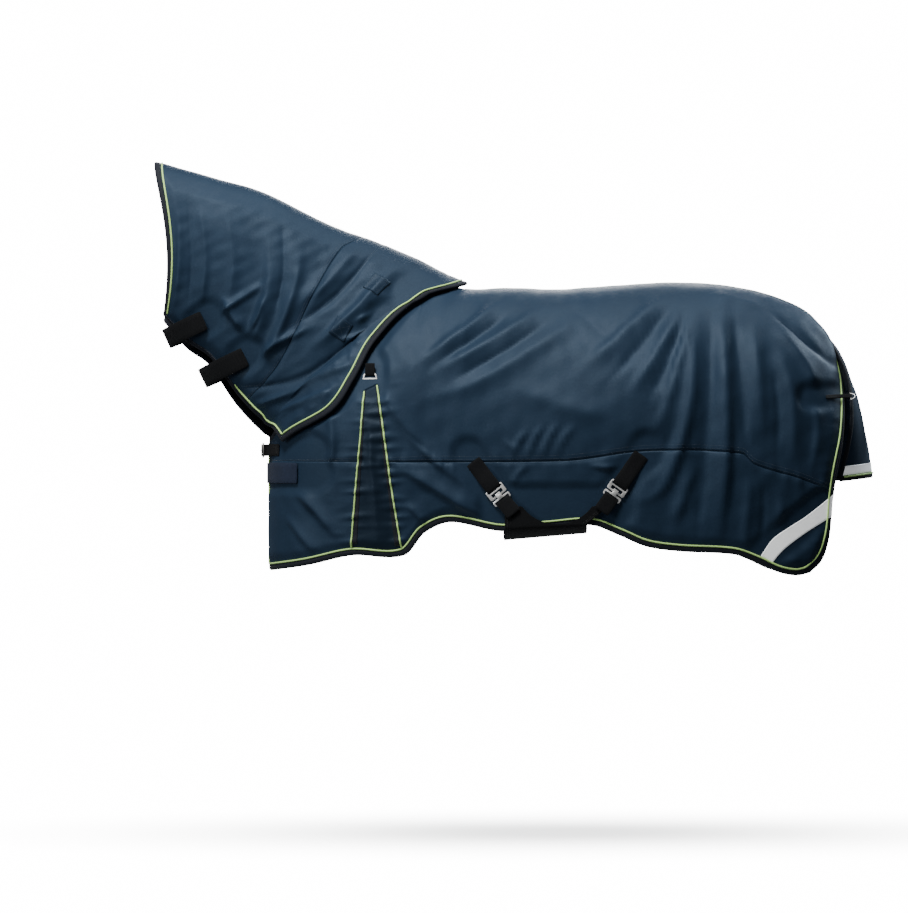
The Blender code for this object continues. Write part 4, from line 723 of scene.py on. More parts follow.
def stitches(name, rows, thread, body, pitch, length=0.0038, radius=0.00042):
    """One small thread lozenge, modelled once and copied along every row of points."""
    shape, faces = thread_lozenge()
    shape = shape * (length, radius, radius)
    stamps = []
    for row in rows:
        points, _ = resampled(row, pitch)
        way = unit(points[1:] - points[:-1])
        side = unit(np.cross(way, (0.13, 0.31, 0.94)))
        turned = shape @ np.stack([way, side, np.cross(way, side)], 1)
        stamps.append(turned + ((points[1:] + points[:-1]) / 2)[:, None])
    points = np.concatenate(stamps)
    first = np.arange(len(points)) * len(shape)
    faces = (faces[None] + first[:, None, None]).reshape(-1, 4)
    data = bpy.data.meshes.new(name)
    data.from_pydata(points.reshape(-1, 3).tolist(), [],
                     [tuple(dict.fromkeys(face)) for face in faces.tolist()])
    data.uv_layers.new(name="cloth")
    data.shade_smooth()
    obj = bpy.data.objects.new(name, data)
    bpy.context.scene.collection.objects.link(obj)
    return finished(obj, thread, body)


# Finishes


class Value:
    """A number, colour or vector in a material's nodes, with the arithmetic of numbers."""

    def __init__(self, finish, socket):
        self.finish, self.socket = finish, socket

    def math(self, operation, *others):
        inputs = {k: value for k, value in enumerate((self, *others))}
        return self.finish.node("ShaderNodeMath", {"operation": operation}, inputs)

    def __add__(self, other):
        return self.math("ADD", other)

    __radd__ = __add__

    def __sub__(self, other):
        return self.math("SUBTRACT", other)

    def __rsub__(self, other):
        return (self * -1) + other

    def __mul__(self, other):
        return self.math("MULTIPLY", other)

    __rmul__ = __mul__

    def __truediv__(self, other):
        return self.math("DIVIDE", other)

    def __pow__(self, other):
        return self.math("POWER", other)

    def sine(self):
        return self.math("SINE")

    def size(self):
        return self.math("ABSOLUTE")

    def above(self, level):
        return self.math("GREATER_THAN", level)

    def kept(self):
        """The value held between 0 and 1."""
        return self.finish.node("ShaderNodeClamp", {}, {0: self})


class Finish:
    """A material and its nodes, set through one method."""

    def __init__(self, name, **constants):
        self.look = bpy.data.materials.new(name)
        self.look.use_nodes = True
        self.tree = self.look.node_tree
        self.shader = self.tree.nodes["Principled BSDF"]
        for socket, value in constants.items():
            self.shader.inputs[socket.replace("_", " ")].default_value = value

    def node(self, kind, settings, inputs, output=0):
        made = self.tree.nodes.new(kind)
        for name, value in settings.items():
            setattr(made, name, value)
        for key, value in inputs.items():
            self.set(made.inputs[key], value)
        return Value(self, made.outputs[output])

    def set(self, socket, value):
        if isinstance(value, Value):
            self.tree.links.new(value.socket, socket)
        else:
            socket.default_value = value

    def feed(self, **inputs):
        for name, value in inputs.items():
            self.set(self.shader.inputs[name.replace("_", " ")], value)
        return self.look

    def place(self):
        return self.node("ShaderNodeTexCoord", {}, {}, "Object")

    def laid(self):
        """The piece's own flat position in metres: across it and along it."""
        flat = self.node("ShaderNodeUVMap", {"uv_map": "cloth"}, {})
        split = self.node("ShaderNodeSeparateXYZ", {}, {0: flat})
        return split, Value(self, split.socket.node.outputs[1])

    def noise(self, scale, detail=3.0, at=None, rough=0.55):
        return self.node("ShaderNodeTexNoise", {}, {
            "Vector": at or self.place(), "Scale": scale, "Detail": detail, "Roughness": rough})

    def tint(self, factor, first, second):
        return self.node("ShaderNodeMix", {"data_type": "RGBA"},
                         {0: factor, 6: (*first, 1), 7: (*second, 1)}, 2)

    def bumped(self, height, distance, strength=1.0, over=None):
        inputs = {"Height": height, "Distance": distance, "Strength": strength}
        if over:
            inputs["Normal"] = over
        return self.node("ShaderNodeBump", {}, inputs)

    def basket(self, pitch):
        """Height, from 0 to 1, of a plain weave of the given yarn spacing."""
        u, v = self.laid()
        across, down = wave(u, 2 * pitch), wave(v, 2 * pitch)
        over = (across * down).above(0.0)
        return over * across.size() + (1 - over) * down.size()


def scaled(colour, share):
    return tuple(part * share for part in colour)


def wave(value, length):
    """A sine wave of the given length along a value in metres."""
    return (value * (2 * math.pi / length)).sine()


def ribs(value, length):
    """The same wave between 0 and 1."""
    return wave(value, length) * 0.5 + 0.5


def shell_finish(colours, name="navy_shell_cloth", share=1.0):
    """Coated navy oxford cloth: a fine plain weave, a satin face and slight unevenness."""
    finish = Finish(name, Sheen_Weight=0.05, Sheen_Roughness=0.4,
                    Sheen_Tint=(0.45, 0.68, 1.0, 1.0), Specular_IOR_Level=0.2,
                    Specular_Tint=(0.62, 0.8, 1.0, 1.0))
    weave = finish.basket(colours.yarn_pitch)
    cloud = finish.noise(3.5, 4.0)
    rub = finish.noise(26.0, 5.0)
    shade = (cloud * 0.7 + rub * 0.3 - 0.28) * 1.9
    # A share below 1 darkens the whole cloth; the gussets' half share is painted shade.
    base = scaled(colours.shell, share)
    colour = finish.tint(shade.kept(), scaled(base, 0.86), scaled(base, 1.16))
    crease = finish.noise(38.0, 4.0, rough=0.6)
    soft = finish.bumped(crease, 0.0016, 0.42)
    fine = finish.bumped(weave, 0.00012, 0.5, over=soft)
    return finish.feed(Base_Color=colour, Roughness=0.47 + 0.1 * weave + 0.12 * (rub - 0.5),
                       Normal=fine)


def lining_finish(colours):
    """Smooth dark nylon lining with a fine diagonal twill."""
    finish = Finish("dark_nylon_lining", Sheen_Weight=0.03, Specular_IOR_Level=0.3)
    u, v = finish.laid()
    twill = ribs(u + v, 0.0011)
    cloud = finish.noise(6.0)
    colour = finish.tint(cloud, scaled(colours.lining, 0.8), scaled(colours.lining, 1.25))
    crease = finish.bumped(finish.noise(30.0, 4.0), 0.002, 0.4)
    return finish.feed(Base_Color=colour, Roughness=0.42 + 0.12 * twill,
                       Normal=finish.bumped(twill, 0.00006, 0.4, over=crease))


def wadding_finish():
    """Bonded polyester fibre."""
    finish = Finish("bonded_wadding", Sheen_Weight=0.4, Specular_IOR_Level=0.2)
    fibre = finish.noise(420.0, 6.0, rough=0.7)
    return finish.feed(Base_Color=finish.tint(fibre, (0.62, 0.63, 0.63), (0.85, 0.86, 0.86)),
                       Roughness=0.95 - 0.1 * fibre, Normal=finish.bumped(fibre, 0.002, 0.8))


def binding_finish(colours):
    """Ribbed binding tape: fine ribs across its length and a softer worn fold, with painted shade
    between the ribs.
    """
    finish = Finish("navy_binding_tape", Sheen_Weight=0.05, Specular_IOR_Level=0.2)
    u, v = finish.laid()
    rib, thread = ribs(u, 0.0013), ribs(v, 0.0008)
    worn = finish.noise(14.0, 5.0)
    # Darker between the ribs: painted shade; the worn noise is real wear.
    colour = finish.tint((rib * 0.5 + worn * 0.6).kept(), scaled(colours.binding, 0.75),
                         scaled(colours.binding, 1.35))
    weave = finish.bumped(rib + 0.4 * thread, 0.00016, 0.8)
    return finish.feed(Base_Color=colour, Roughness=0.62 + 0.16 * rib, Normal=weave)


def piping_finish(colours):
    """Corded lime piping: cloth on the bias round a cord, with painted shade in the grooves of its
    twist.
    """
    finish = Finish("lime_piping_cord", Sheen_Weight=0.2, Specular_IOR_Level=0.45)
    u, v = finish.laid()
    twist, yarn = ribs(u + v * 0.7, 0.0021), ribs(u * 0.6 - v, 0.0007)
    dirt = finish.noise(11.0, 5.0)
    # Darker in the twist's grooves: painted shade; the dirt noise is real soiling.
    shade = (twist * 0.45 + dirt * 0.6).kept()
    colour = finish.tint(shade, scaled(colours.piping, 0.72), scaled(colours.piping, 1.12))
    return finish.feed(Base_Color=colour, Roughness=0.48 + 0.14 * yarn,
                       Normal=finish.bumped(twist + 0.3 * yarn, 0.00025, 0.7))


def webbing_finish(colours, name="black_webbing_weave", base=None):
    """Black webbing: ribs along it crossed by fine weft, dulled a little by use, with painted shade
    in the weave's low places.
    """
    finish = Finish(name, Sheen_Weight=0.04, Sheen_Roughness=0.5,
                    Specular_IOR_Level=0.08)
    u, v = finish.laid()
    rib = wave(u, 0.0024)
    slant = ribs(v + rib * 0.0004, 0.0014)
    height = rib.size() * 0.6 + slant * 0.5
    dust = finish.noise(22.0, 6.0)
    base = base or colours.webbing
    # The colour follows the weave's height, darker in its grooves as painted shade; the dust noise
    # is real tone.
    colour = finish.tint((height * 0.5 + dust * 0.5).kept(), scaled(base, 0.6), scaled(base, 1.9))
    return finish.feed(Base_Color=colour, Roughness=0.68 + 0.18 * slant,
                       Normal=finish.bumped(height, 0.0003, 0.8))


def thread_finish(name, colour):
    finish = Finish(name, Sheen_Weight=0.2, Specular_IOR_Level=0.5)
    ply = finish.noise(900.0, 2.0)
    return finish.feed(Base_Color=finish.tint(ply, scaled(colour, 0.7), scaled(colour, 1.3)),
                       Roughness=0.5 + 0.15 * ply)


# Strength of the tape's painted glow: the tape emits its own colour.
TAPE_PAINTED_GLOW = 0.25


def tape_finish(colours):
    """Reflective tape: a silver face of fine beads, scuffed here and there, glowing in its own
    colour as a painted glow for the light it sends back.
    """
    finish = Finish("reflective_tape_face", Metallic=0.0, Emission_Strength=TAPE_PAINTED_GLOW,
                    Specular_IOR_Level=0.6)
    u, v = finish.laid()
    flat = finish.node("ShaderNodeCombineXYZ", {}, {0: u, 1: v})
    cell = finish.node("ShaderNodeTexVoronoi", {"feature": "DISTANCE_TO_EDGE"},
                       {"Vector": flat, "Scale": 420.0})
    edge = (cell * 9.0).kept()
    scuff = finish.noise(45.0, 6.0, rough=0.7)
    shade = (edge * 0.55 + scuff * 0.45).kept()
    colour = finish.tint(shade, scaled(colours.tape, 0.72), scaled(colours.tape, 1.12))
    return finish.feed(Base_Color=colour, Emission_Color=colour,
                       Roughness=0.52 - 0.2 * edge + 0.15 * scuff,
                       Normal=finish.bumped(edge, 0.00015, 0.6))


def metal_finish(colours):
    """Satin nickel plate: fine drawn lines and finger marks."""
    finish = Finish("satin_nickel", Specular_IOR_Level=0.5)
    stretched = finish.node("ShaderNodeMapping", {}, {0: finish.place(), 3: (90, 90, 1400)})
    drawn = finish.noise(1.0, 3.0, at=stretched)
    marks = finish.noise(90.0, 5.0, rough=0.65)
    colour = finish.tint(marks, scaled(colours.metal, 0.78), scaled(colours.metal, 1.15))
    return finish.feed(Base_Color=colour, Metallic=0.92 + 0.08 * drawn,
                       Roughness=0.32 + 0.14 * marks + 0.08 * drawn,
                       Normal=finish.bumped(drawn, 0.00008, 0.35))


def floor_finish():
    """Pale floor that fades out with distance from the rug, leaving a grey oval against the white
    backdrop: a painted shadow under the rug, on top of the real shadow the lights cast.
    """
    finish = Finish("pale_floor_painted_shadow", Specular_IOR_Level=0.1)
    grain = finish.noise(1.3, 5.0)
    oval = finish.node("ShaderNodeMapping", {}, {0: finish.place(), 3: FLOOR_SHADOW_OVAL})
    away = finish.node("ShaderNodeVectorMath", {"operation": "LENGTH"}, {0: oval}, 1)
    fade = ((FLOOR_SHADOW_FADE[1] - away) / (FLOOR_SHADOW_FADE[1] - FLOOR_SHADOW_FADE[0])).kept()
    colour = finish.tint(grain, (0.43, 0.433, 0.435), (0.46, 0.462, 0.464))
    return finish.feed(Base_Color=colour, Roughness=0.75 + 0.08 * grain,
                       Alpha=fade * fade * (3 - 2 * fade) * FLOOR_COVER)


LOOKS = {}


def look(name):
    """The named finish, made when a piece first asks for it."""
    if name not in LOOKS:
        colours = bpy.context.scene.rug_colours
        makers = {
            "shell": shell_finish, "lining": lining_finish, "binding": binding_finish,
            "piping": piping_finish, "webbing": webbing_finish, "tape": tape_finish,
            "metal": metal_finish, "wadding": lambda c: wadding_finish(),
            "floor": lambda c: floor_finish(),
            "chest_band": lambda c: webbing_finish(c, "navy_band_weave", scaled(c.binding, 2.6)),
            # The gusset cloth is the shell at half its brightness: painted shade on the recessed
            # gussets.
            "gusset": lambda c: shell_finish(c, "navy_gusset_cloth_painted_shade", 0.5),
            "patch": lambda c: shell_finish(c, "navy_patch_cloth", 0.85),
            "navy_thread": lambda c: thread_finish("navy_thread", scaled(c.shell, 1.5)),
            "black_thread": lambda c: thread_finish("black_thread", scaled(c.webbing, 2.4)),
            "grey_thread": lambda c: thread_finish("grey_thread", (0.2, 0.2, 0.2))}
        LOOKS[name] = makers[name](colours)
    return LOOKS[name]


def colour_property(name, description, value):
    return bpy.props.FloatVectorProperty(name=name, description=description, subtype="COLOR",
                                         size=3, min=0.0, max=1.0, default=value)


class RugColours(bpy.types.PropertyGroup):
    """Colours of the rug's fabrics and hardware."""
    shell: colour_property("Shell", "Navy outer cloth", (0.0078, 0.0175, 0.034))
    binding: colour_property("Binding", "Tape round the edges", (0.003, 0.0045, 0.009))
    lining: colour_property("Lining", "Inner cloth", (0.006, 0.007, 0.009))
    piping: colour_property("Piping", "Corded piping", (0.42, 0.66, 0.19))
    webbing: colour_property("Webbing", "Straps and girth", (0.0022, 0.0024, 0.003))
    tape: colour_property("Tape", "Reflective tape", (0.95, 0.97, 0.97))
    metal: colour_property("Metal", "Buckles, hooks and rings", (0.9, 0.89, 0.86))
    yarn_pitch: bpy.props.FloatProperty(
        name="Yarn pitch", description="Spacing of the shell's yarns", default=0.0008,
        min=0.0003, max=0.003, unit="LENGTH", precision=5)


class RugSizes(bpy.types.PropertyGroup):
    """Sizes that a maker would change."""
    piping_radius: bpy.props.FloatProperty(
        name="Piping radius", description="Half the thickness of the piping", default=0.0027,
        min=0.001, max=0.006, unit="LENGTH", precision=4)
    stitch_pitch: bpy.props.FloatProperty(
        name="Stitch pitch", description="Distance from one stitch to the next", default=0.0052,
        min=0.002, max=0.01, unit="LENGTH", precision=4)
    camera_distance: bpy.props.FloatProperty(
        name="Camera distance", description="How far off the camera stands", default=20.0,
        min=3.0, max=60.0, unit="LENGTH")


# Rug body


def half_layer(name, i0, i1, j0, j1, side, lift, folded, cell=CELL, drop=None, gap=0.0):
    """One side of a fabric layer between lines of the pattern grid."""
    def at(u, v):
        return mix(i0 + gap, i1 - gap, u), mix(j0 + gap * (j0 > 0), j1 - gap, v)

    def place(u, v):
        return shell_point(*at(u, v), side, lift, folded)

    def lay(u, v):
        return grid_qs(*at(u, v))

    def dropped(u, v):
        return drop(*at(u, v))

    return cloth(name, int((i1 - i0) * cell), int((j1 - j0) * cell), place, lay,
                 dropped if drop else None)


def two_sided(name, thick, **facts):
    halves = [half_layer(f"{name}_{word}", side=side, **facts)
              for word, side in SIDES.items()]
    obj = joined(name, halves)
    apply(obj, "SOLIDIFY", thickness=thick, offset=0.0)
    return obj


def in_gusset(i, j):
    return GUSSET_START < i < GUSSET_END and j > TOP_ROWS


class OuterShell(bpy.types.Operator):
    """Back panel, chest and flank panels and the shoulder gussets, with their folds"""
    bl_idname = "rug.outer_shell"
    bl_label = "Outer shell"

    def execute(self, context):
        back = two_sided("back_panel_cloth", SHELL_THICK, i0=0, i1=COLUMNS, j0=0, j1=SEAM_ROW,
                         lift=SHELL_LIFT, folded=True, drop=in_gusset)
        finished(back, look("shell"), "rug", ["back_panel"])
        parts = (("chest_panel", 0, GUSSET_START, SEAM_ROW, 0.45, 0.4, 0.12),
                 ("flank_panel", GUSSET_END, COLUMNS, SEAM_ROW, 1.5, 0.4, 0.35),
                 ("gusset", GUSSET_START, GUSSET_END, TOP_ROWS, 0.3, 0.65, 0.06))
        for word, side in SIDES.items():
            for part, i0, i1, j0, width, length, area in parts:
                piece = half_layer(f"{part}_{word}_cloth", i0, i1, j0, ROWS, side, SHELL_LIFT,
                                   True, gap=PANEL_GAP)
                apply(piece, "SOLIDIFY", thickness=SHELL_THICK, offset=0.0)
                # The gussets take the darkened copy of the shell, which is painted shade.
                finished(piece, look("gusset" if part == "gusset" else "shell"), "rug",
                         [f"{part}_{word}"])
        return {"FINISHED"}


class LiningAndWadding(bpy.types.Operator):
    """Smooth lining and the fibre wadding between it and the shell"""
    bl_idname = "rug.lining_and_wadding"
    bl_label = "Lining and wadding"

    def execute(self, context):
        lining = two_sided("lining_cloth", LINING_THICK, i0=0, i1=COLUMNS, j0=0, j1=ROWS,
                           lift=LINING_LIFT, folded=False, cell=LINING_CELL)
        finished(lining, look("lining"), "rug", ["lining"])
        wadding = two_sided("wadding_sheet", WADDING_THICK, i0=0, i1=COLUMNS, j0=0, j1=ROWS,
                            lift=WADDING_LIFT, folded=False, cell=WADDING_CELL)
        finished(wadding, look("wadding"), "rug", ["wadding"])
        return {"FINISHED"}


# Edges of the rug

RIM_STEP = 0.125
BINDING_SECTION = [(-0.004, 0.0061), (0.003, 0.0064), (0.009, 0.0058), (0.0125, 0.0035),
                   (0.0139, 0.0), (0.0125, -0.0035), (0.009, -0.0055), (0.003, -0.006),
                   (-0.004, -0.0058), (-0.004, -0.005), (0.0008, -0.0049), (0.0008, 0.0049),
                   (-0.004, 0.0052)]
FLAP_SECTION = [(-0.003, 0.0028), (0.004, 0.003), (0.0095, 0.0022), (0.0115, 0.0),
                (0.0095, -0.0022), (0.004, -0.003), (-0.003, -0.0028), (-0.003, -0.002),
                (0.0006, -0.0019), (0.0006, 0.0019), (-0.003, 0.002)]
BINDING_MIDDLE = (LINING_LIFT + SHELL_LIFT) / 2
SHELL_TOP = SHELL_LIFT + SHELL_THICK / 2


def rim_sides():
    """The rug's outline from the dock round to the neckline, one array of (i, j) for each side."""
    corners = ((COLUMNS, 0), (COLUMNS, ROWS), (0, ROWS), (0, 0), (NECKLINE_COLUMN, 0))
    sides = []
    for (i0, j0), (i1, j1) in zip(corners, corners[1:]):
        count = int(max(abs(i1 - i0), abs(j1 - j0)) / RIM_STEP)
        share = np.linspace(0, 1, count + 1)
        sides.append(np.stack([mix(i0, i1, share), mix(j0, j1, share)], 1))
    return sides


def edge_run(run):
    """(q, s) of pattern places along an edge, and the way out of the cloth at each."""
    here = np.stack(grid_qs(run[:, 0], run[:, 1]), 1)
    way = unit(np.gradient(here, axis=0))
    return here, np.stack([way[:, 1], -way[:, 0]], 1)


def rim(turns=4):
    """(q, s) along the outline and the way out at each point, with rounded turns at corners."""
    places, outs = [], []
    for side in rim_sides():
        here, out = edge_run(side)
        if places:
            for k in range(1, turns):
                outs.append(unit(mix(outs[-1 if k == 1 else -k], out[0], k / turns)))
                places.append(here[0])
        places.extend(here)
        outs.extend(out)
    return np.array(places), np.array(outs)


def squared(out, up):
    """The ways out turned square to the ways up."""
    return unit(out - up * (out * up).sum(1, keepdims=True))


def rim_frames():
    """Edge points between lining and shell, with the ways out and up, on the left."""
    places, outs = rim()
    edge = lifted(bare_skin, places[:, 0], places[:, 1], BINDING_MIDDLE)
    ahead = places + outs * 0.003
    beyond = lifted(bare_skin, np.maximum(ahead[:, 0], 0.004), ahead[:, 1], BINDING_MIDDLE)
    up = outward(bare_skin, places[:, 0], places[:, 1])
    for end in (0, -1):
        edge[end, 1] = beyond[end, 1] = up[end, 1] = 0
    return edge, squared(beyond - edge, up), unit(up)


def mirrored(points, side):
    return points * np.array([1.0, -side, 1.0])


def inset_path(inset, lift, side, first=0.25, last=0.25):
    """A line inside the rug's edge, from near the dock to near the top of the chest."""
    path = []
    for number, run in enumerate(rim_sides()[:3]):
        here, out = edge_run(run)
        clear = [np.linalg.norm(here - here[end], axis=1) > inset for end in (0, -1)]
        keep = clear[0] if number else run[:, 1] >= first
        keep = keep & (clear[1] if number < 2 else run[:, 1] >= last)
        path.extend((here - out * inset)[keep])
    path = np.array(path)
    return mirrored(lifted(bare_skin, np.maximum(path[:, 0], 0.003), path[:, 1], lift), side)


class EdgeBinding(bpy.types.Operator):
    """Ribbed tape that wraps the rug's edge all round"""
    bl_idname = "rug.edge_binding"
    bl_label = "Edge binding"

    def execute(self, context):
        edge, out, up = rim_frames()
        halves = [channel(f"edge_binding_{word}", mirrored(edge, side), mirrored(out, side),
                          mirrored(up, side), BINDING_SECTION) for word, side in SIDES.items()]
        finished(joined("edge_binding_tape", halves), look("binding"), "rug",
                 ["edge_binding"])
        return {"FINISHED"}


PIPING_INSET, PIPING_SEAT = 0.0065, 0.8
GUSSET_LINE_END, GUSSET_LINE_POINTS = ROWS - 0.12, 120
GUSSET_TAPES = ((GUSSET_START + 0.03, GUSSET_START + 0.24), (GUSSET_END - 0.24, GUSSET_END - 0.03))
GUSSET_TAPE_END, GUSSET_TAPE_LIFT, GUSSET_TAPE_THICK = ROWS - 0.3, SHELL_TOP + 0.0006, 0.0008
GUSSET_TAPE_FLAT = (0.55, 0.011)


def gusset_tape(name, i0, i1, side):
    """Tape beside one line of gusset piping, laid on the shell's folds."""
    def place(u, v):
        return shell_point(mix(i0, i1, u), mix(TOP_ROWS, GUSSET_TAPE_END, v), side,
                           GUSSET_TAPE_LIFT)

    def lay(u, v):
        return v * GUSSET_TAPE_FLAT[0], u * GUSSET_TAPE_FLAT[1]

    return cloth(name, 4, 90, place, lay, thick=GUSSET_TAPE_THICK)


def gusset_cord(name, i, side, radius):
    """Piping down one edge of a gusset, laid on the shell's folds."""
    down = np.linspace(TOP_ROWS, GUSSET_LINE_END, GUSSET_LINE_POINTS)
    path = shell_point(np.full(len(down), i), down, side, SHELL_TOP + radius * 0.7)
    return cord_piece(name, path, radius)


class EdgePiping(bpy.types.Operator):
    """Lime piping inside the binding and down both edges of each gusset"""
    bl_idname = "rug.edge_piping"
    bl_label = "Edge and gusset piping"

    def execute(self, context):
        radius = context.scene.rug_sizes.piping_radius
        for word, side in SIDES.items():
            path = inset_path(PIPING_INSET, SHELL_TOP + radius * PIPING_SEAT, side)
            piece = cord_piece(f"edge_piping_cord_{word}", path, radius)
            finished(piece, look("piping"), "rug", [f"edge_piping_{word}"])
            lines = [gusset_cord(f"gusset_line_{word}_{i}", i, side, radius)
                     for i in (GUSSET_START, GUSSET_END)]
            piece = joined(f"gusset_piping_cord_{word}", lines)
            finished(piece, look("piping"), "rug", [f"gusset_piping_{word}"])
            tapes = [gusset_tape(f"gusset_tape_{word}_{k}", i0, i1, side)
                     for k, (i0, i1) in enumerate(GUSSET_TAPES)]
            finished(joined(f"gusset_edge_tape_{word}", tapes), look("binding"), "rug")
        return {"FINISHED"}


REFLECTOR_UPPER = ((0, 1.11, -0.62), (0.33, 1.032, -0.682), (0.6, 0.97, -0.722),
                   (0.8, 0.927, -0.754), (1, 0.893, -0.803))
REFLECTOR_LOWER = ((0, 1.107, -0.684), (0.33, 1.03, -0.732), (0.6, 0.975, -0.772),
                   (0.8, 0.948, -0.798), (1, 0.929, -0.822))
REFLECTOR_LIFT, REFLECTOR_THICK, REFLECTOR_FLAT = SHELL_TOP + 0.0013, 0.0006, (0.27, 0.06)


def reflector_point(u, v, lift, side):
    """Points of a rear reflector: u along it from the rear edge, v from its upper edge down."""
    x, z = (mix(along(REFLECTOR_UPPER, u, k), along(REFLECTOR_LOWER, u, k), v) for k in (1, 2))
    return mirrored(lifted(bare_skin, q_of(x), s_of(x, z), lift), side)


class RearReflectors(bpy.types.Operator):
    """Reflective bands across the rear corners"""
    bl_idname = "rug.rear_reflectors"
    bl_label = "Rear reflectors"

    def execute(self, context):
        for word, side in SIDES.items():
            piece = cloth(f"rear_reflector_tape_{word}", 48, 10,
                          lambda u, v, here=side: reflector_point(u, v, REFLECTOR_LIFT, here),
                          lambda u, v: (u * REFLECTOR_FLAT[0], v * REFLECTOR_FLAT[1]),
                          thick=REFLECTOR_THICK)
            finished(piece, look("tape"), "rug", [f"rear_reflector_{word}"])
        return {"FINISHED"}


# Neck cover

HOOD_MIDDLE = (HOOD_LINING_LIFT + HOOD_SHELL_LIFT) / 2
HOOD_TOP = HOOD_SHELL_LIFT + SHELL_THICK / 2
HOOD_SECTION = [(x, y * 0.82) for x, y in BINDING_SECTION]
PATCHES = {"upper": (0.86, 41), "lower": (0.845, 78)}
PATCH_SIZE, PATCH_LIFT, PATCH_THICK = 0.056, HOOD_TOP + 0.0012, 0.0015
HOOD_PIPING_A, HOOD_PIPING_SHORT = {"front": 0.009, "rear": 0.991}, 0.05
THROAT_PIPING_INSET, THROAT_PIPING_END, THROAT_CORNER = 0.03, 0.56, (0.052, 0.985)
HOOD_FLAT = (0.9, 0.2)


def hood_layer(name, a0, a1, lift, thick, folded, columns, rows):
    def at(u, v):
        return mix(a0, a1, u), mix(-HOOD_FAR_EDGE, HOOD_NEAR_EDGE, v)

    def place(u, v):
        return hood_point(*at(u, v), lift, folded)

    def lay(u, v):
        a, phi = at(u, v)
        return a * HOOD_FLAT[0], phi * HOOD_FLAT[1]

    return cloth(name, columns, rows, place, lay, thick=thick)


def turned_outline(corners, ways, count, turns=4):
    """Places along an outline with the way out at each, turning in small steps at corners."""
    places, outs = [], []
    for k, (start, end) in enumerate(zip(corners, corners[1:])):
        share = np.linspace(0, 1, count)[:, None]
        places.append(mix(np.array(start, float), np.array(end, float), share))
        outs.append(np.tile(ways[k], (count, 1)))
        for step in range(1, turns if k + 1 < len(ways) else 1):
            turn = step / turns * math.pi / 2
            places.append([end])
            outs.append([np.multiply(ways[k], math.cos(turn))
                         + np.multiply(ways[k + 1], math.sin(turn))])
    return np.concatenate(places), np.concatenate(outs)


def outline_frames(surface, bare, outline, spans, step):
    """Points of an outline on a surface, with the ways out and up at each.

    The ways are measured over the spans along and across it, and on the bare form over the step.
    """
    (u, v), way = outline[0].T, outline[1]
    down = unit(surface(u + spans[0], v) - surface(u - spans[0], v))
    across = unit(surface(u, v + spans[1]) - surface(u, v - spans[1]))
    up = outward(bare, u, v, step)
    return surface(u, v), squared(down * way[:, :1] + across * way[:, 1:], up), up


def hood_rim():
    """Edge points of the neck cover with the ways out and up, all round and closed."""
    near, far = HOOD_NEAR_EDGE, -HOOD_FAR_EDGE
    outline = turned_outline(((0, far), (0, near), (1, near), (1, far), (0, far)),
                             ((-1, 0), (0, 1), (1, 0), (0, -1), (-1, 0)), 90)
    frames = outline_frames(lambda a, phi: hood(a, phi, HOOD_MIDDLE), bare_hood, outline,
                            spans=(0.01, 0.03), step=0.004)
    return [np.append(part, part[:1], 0) for part in frames]


class NeckCover(bpy.types.Operator):
    """Neck cover: folded shell panels over its wadding and lining"""
    bl_idname = "rug.neck_cover"
    bl_label = "Neck cover"

    def execute(self, context):
        for part, a0, a1, columns, area in (("front", 0.001, HOOD_SEAM_A - 0.0001, 110, 0.62),
                                            ("rear", HOOD_SEAM_A + 0.0001, 0.999, 60, 0.4)):
            piece = hood_layer(f"hood_{part}_cloth", a0, a1, HOOD_SHELL_LIFT, SHELL_THICK, True,
                               columns, 200)
            finished(piece, look("shell"), "hood", [f"hood_{part}_panel"])
        lining = hood_layer("hood_lining_cloth", 0, 1, HOOD_LINING_LIFT, LINING_THICK, False,
                            90, 110)
        finished(lining, look("lining"), "hood", ["hood_lining"])
        wadding = hood_layer("hood_wadding_sheet", 0, 1, HOOD_WADDING_LIFT, HOOD_WADDING_THICK,
                             False, 60, 90)
        finished(wadding, look("wadding"), "hood", ["hood_wadding"])
        return {"FINISHED"}


def hood_cord(word, a, phi, radius):
    """Piping along a line of the neck cover."""
    path = hood(a, phi, HOOD_TOP + radius * 0.85)
    return cord_piece(f"hood_piping_cord_{word}", path, radius)


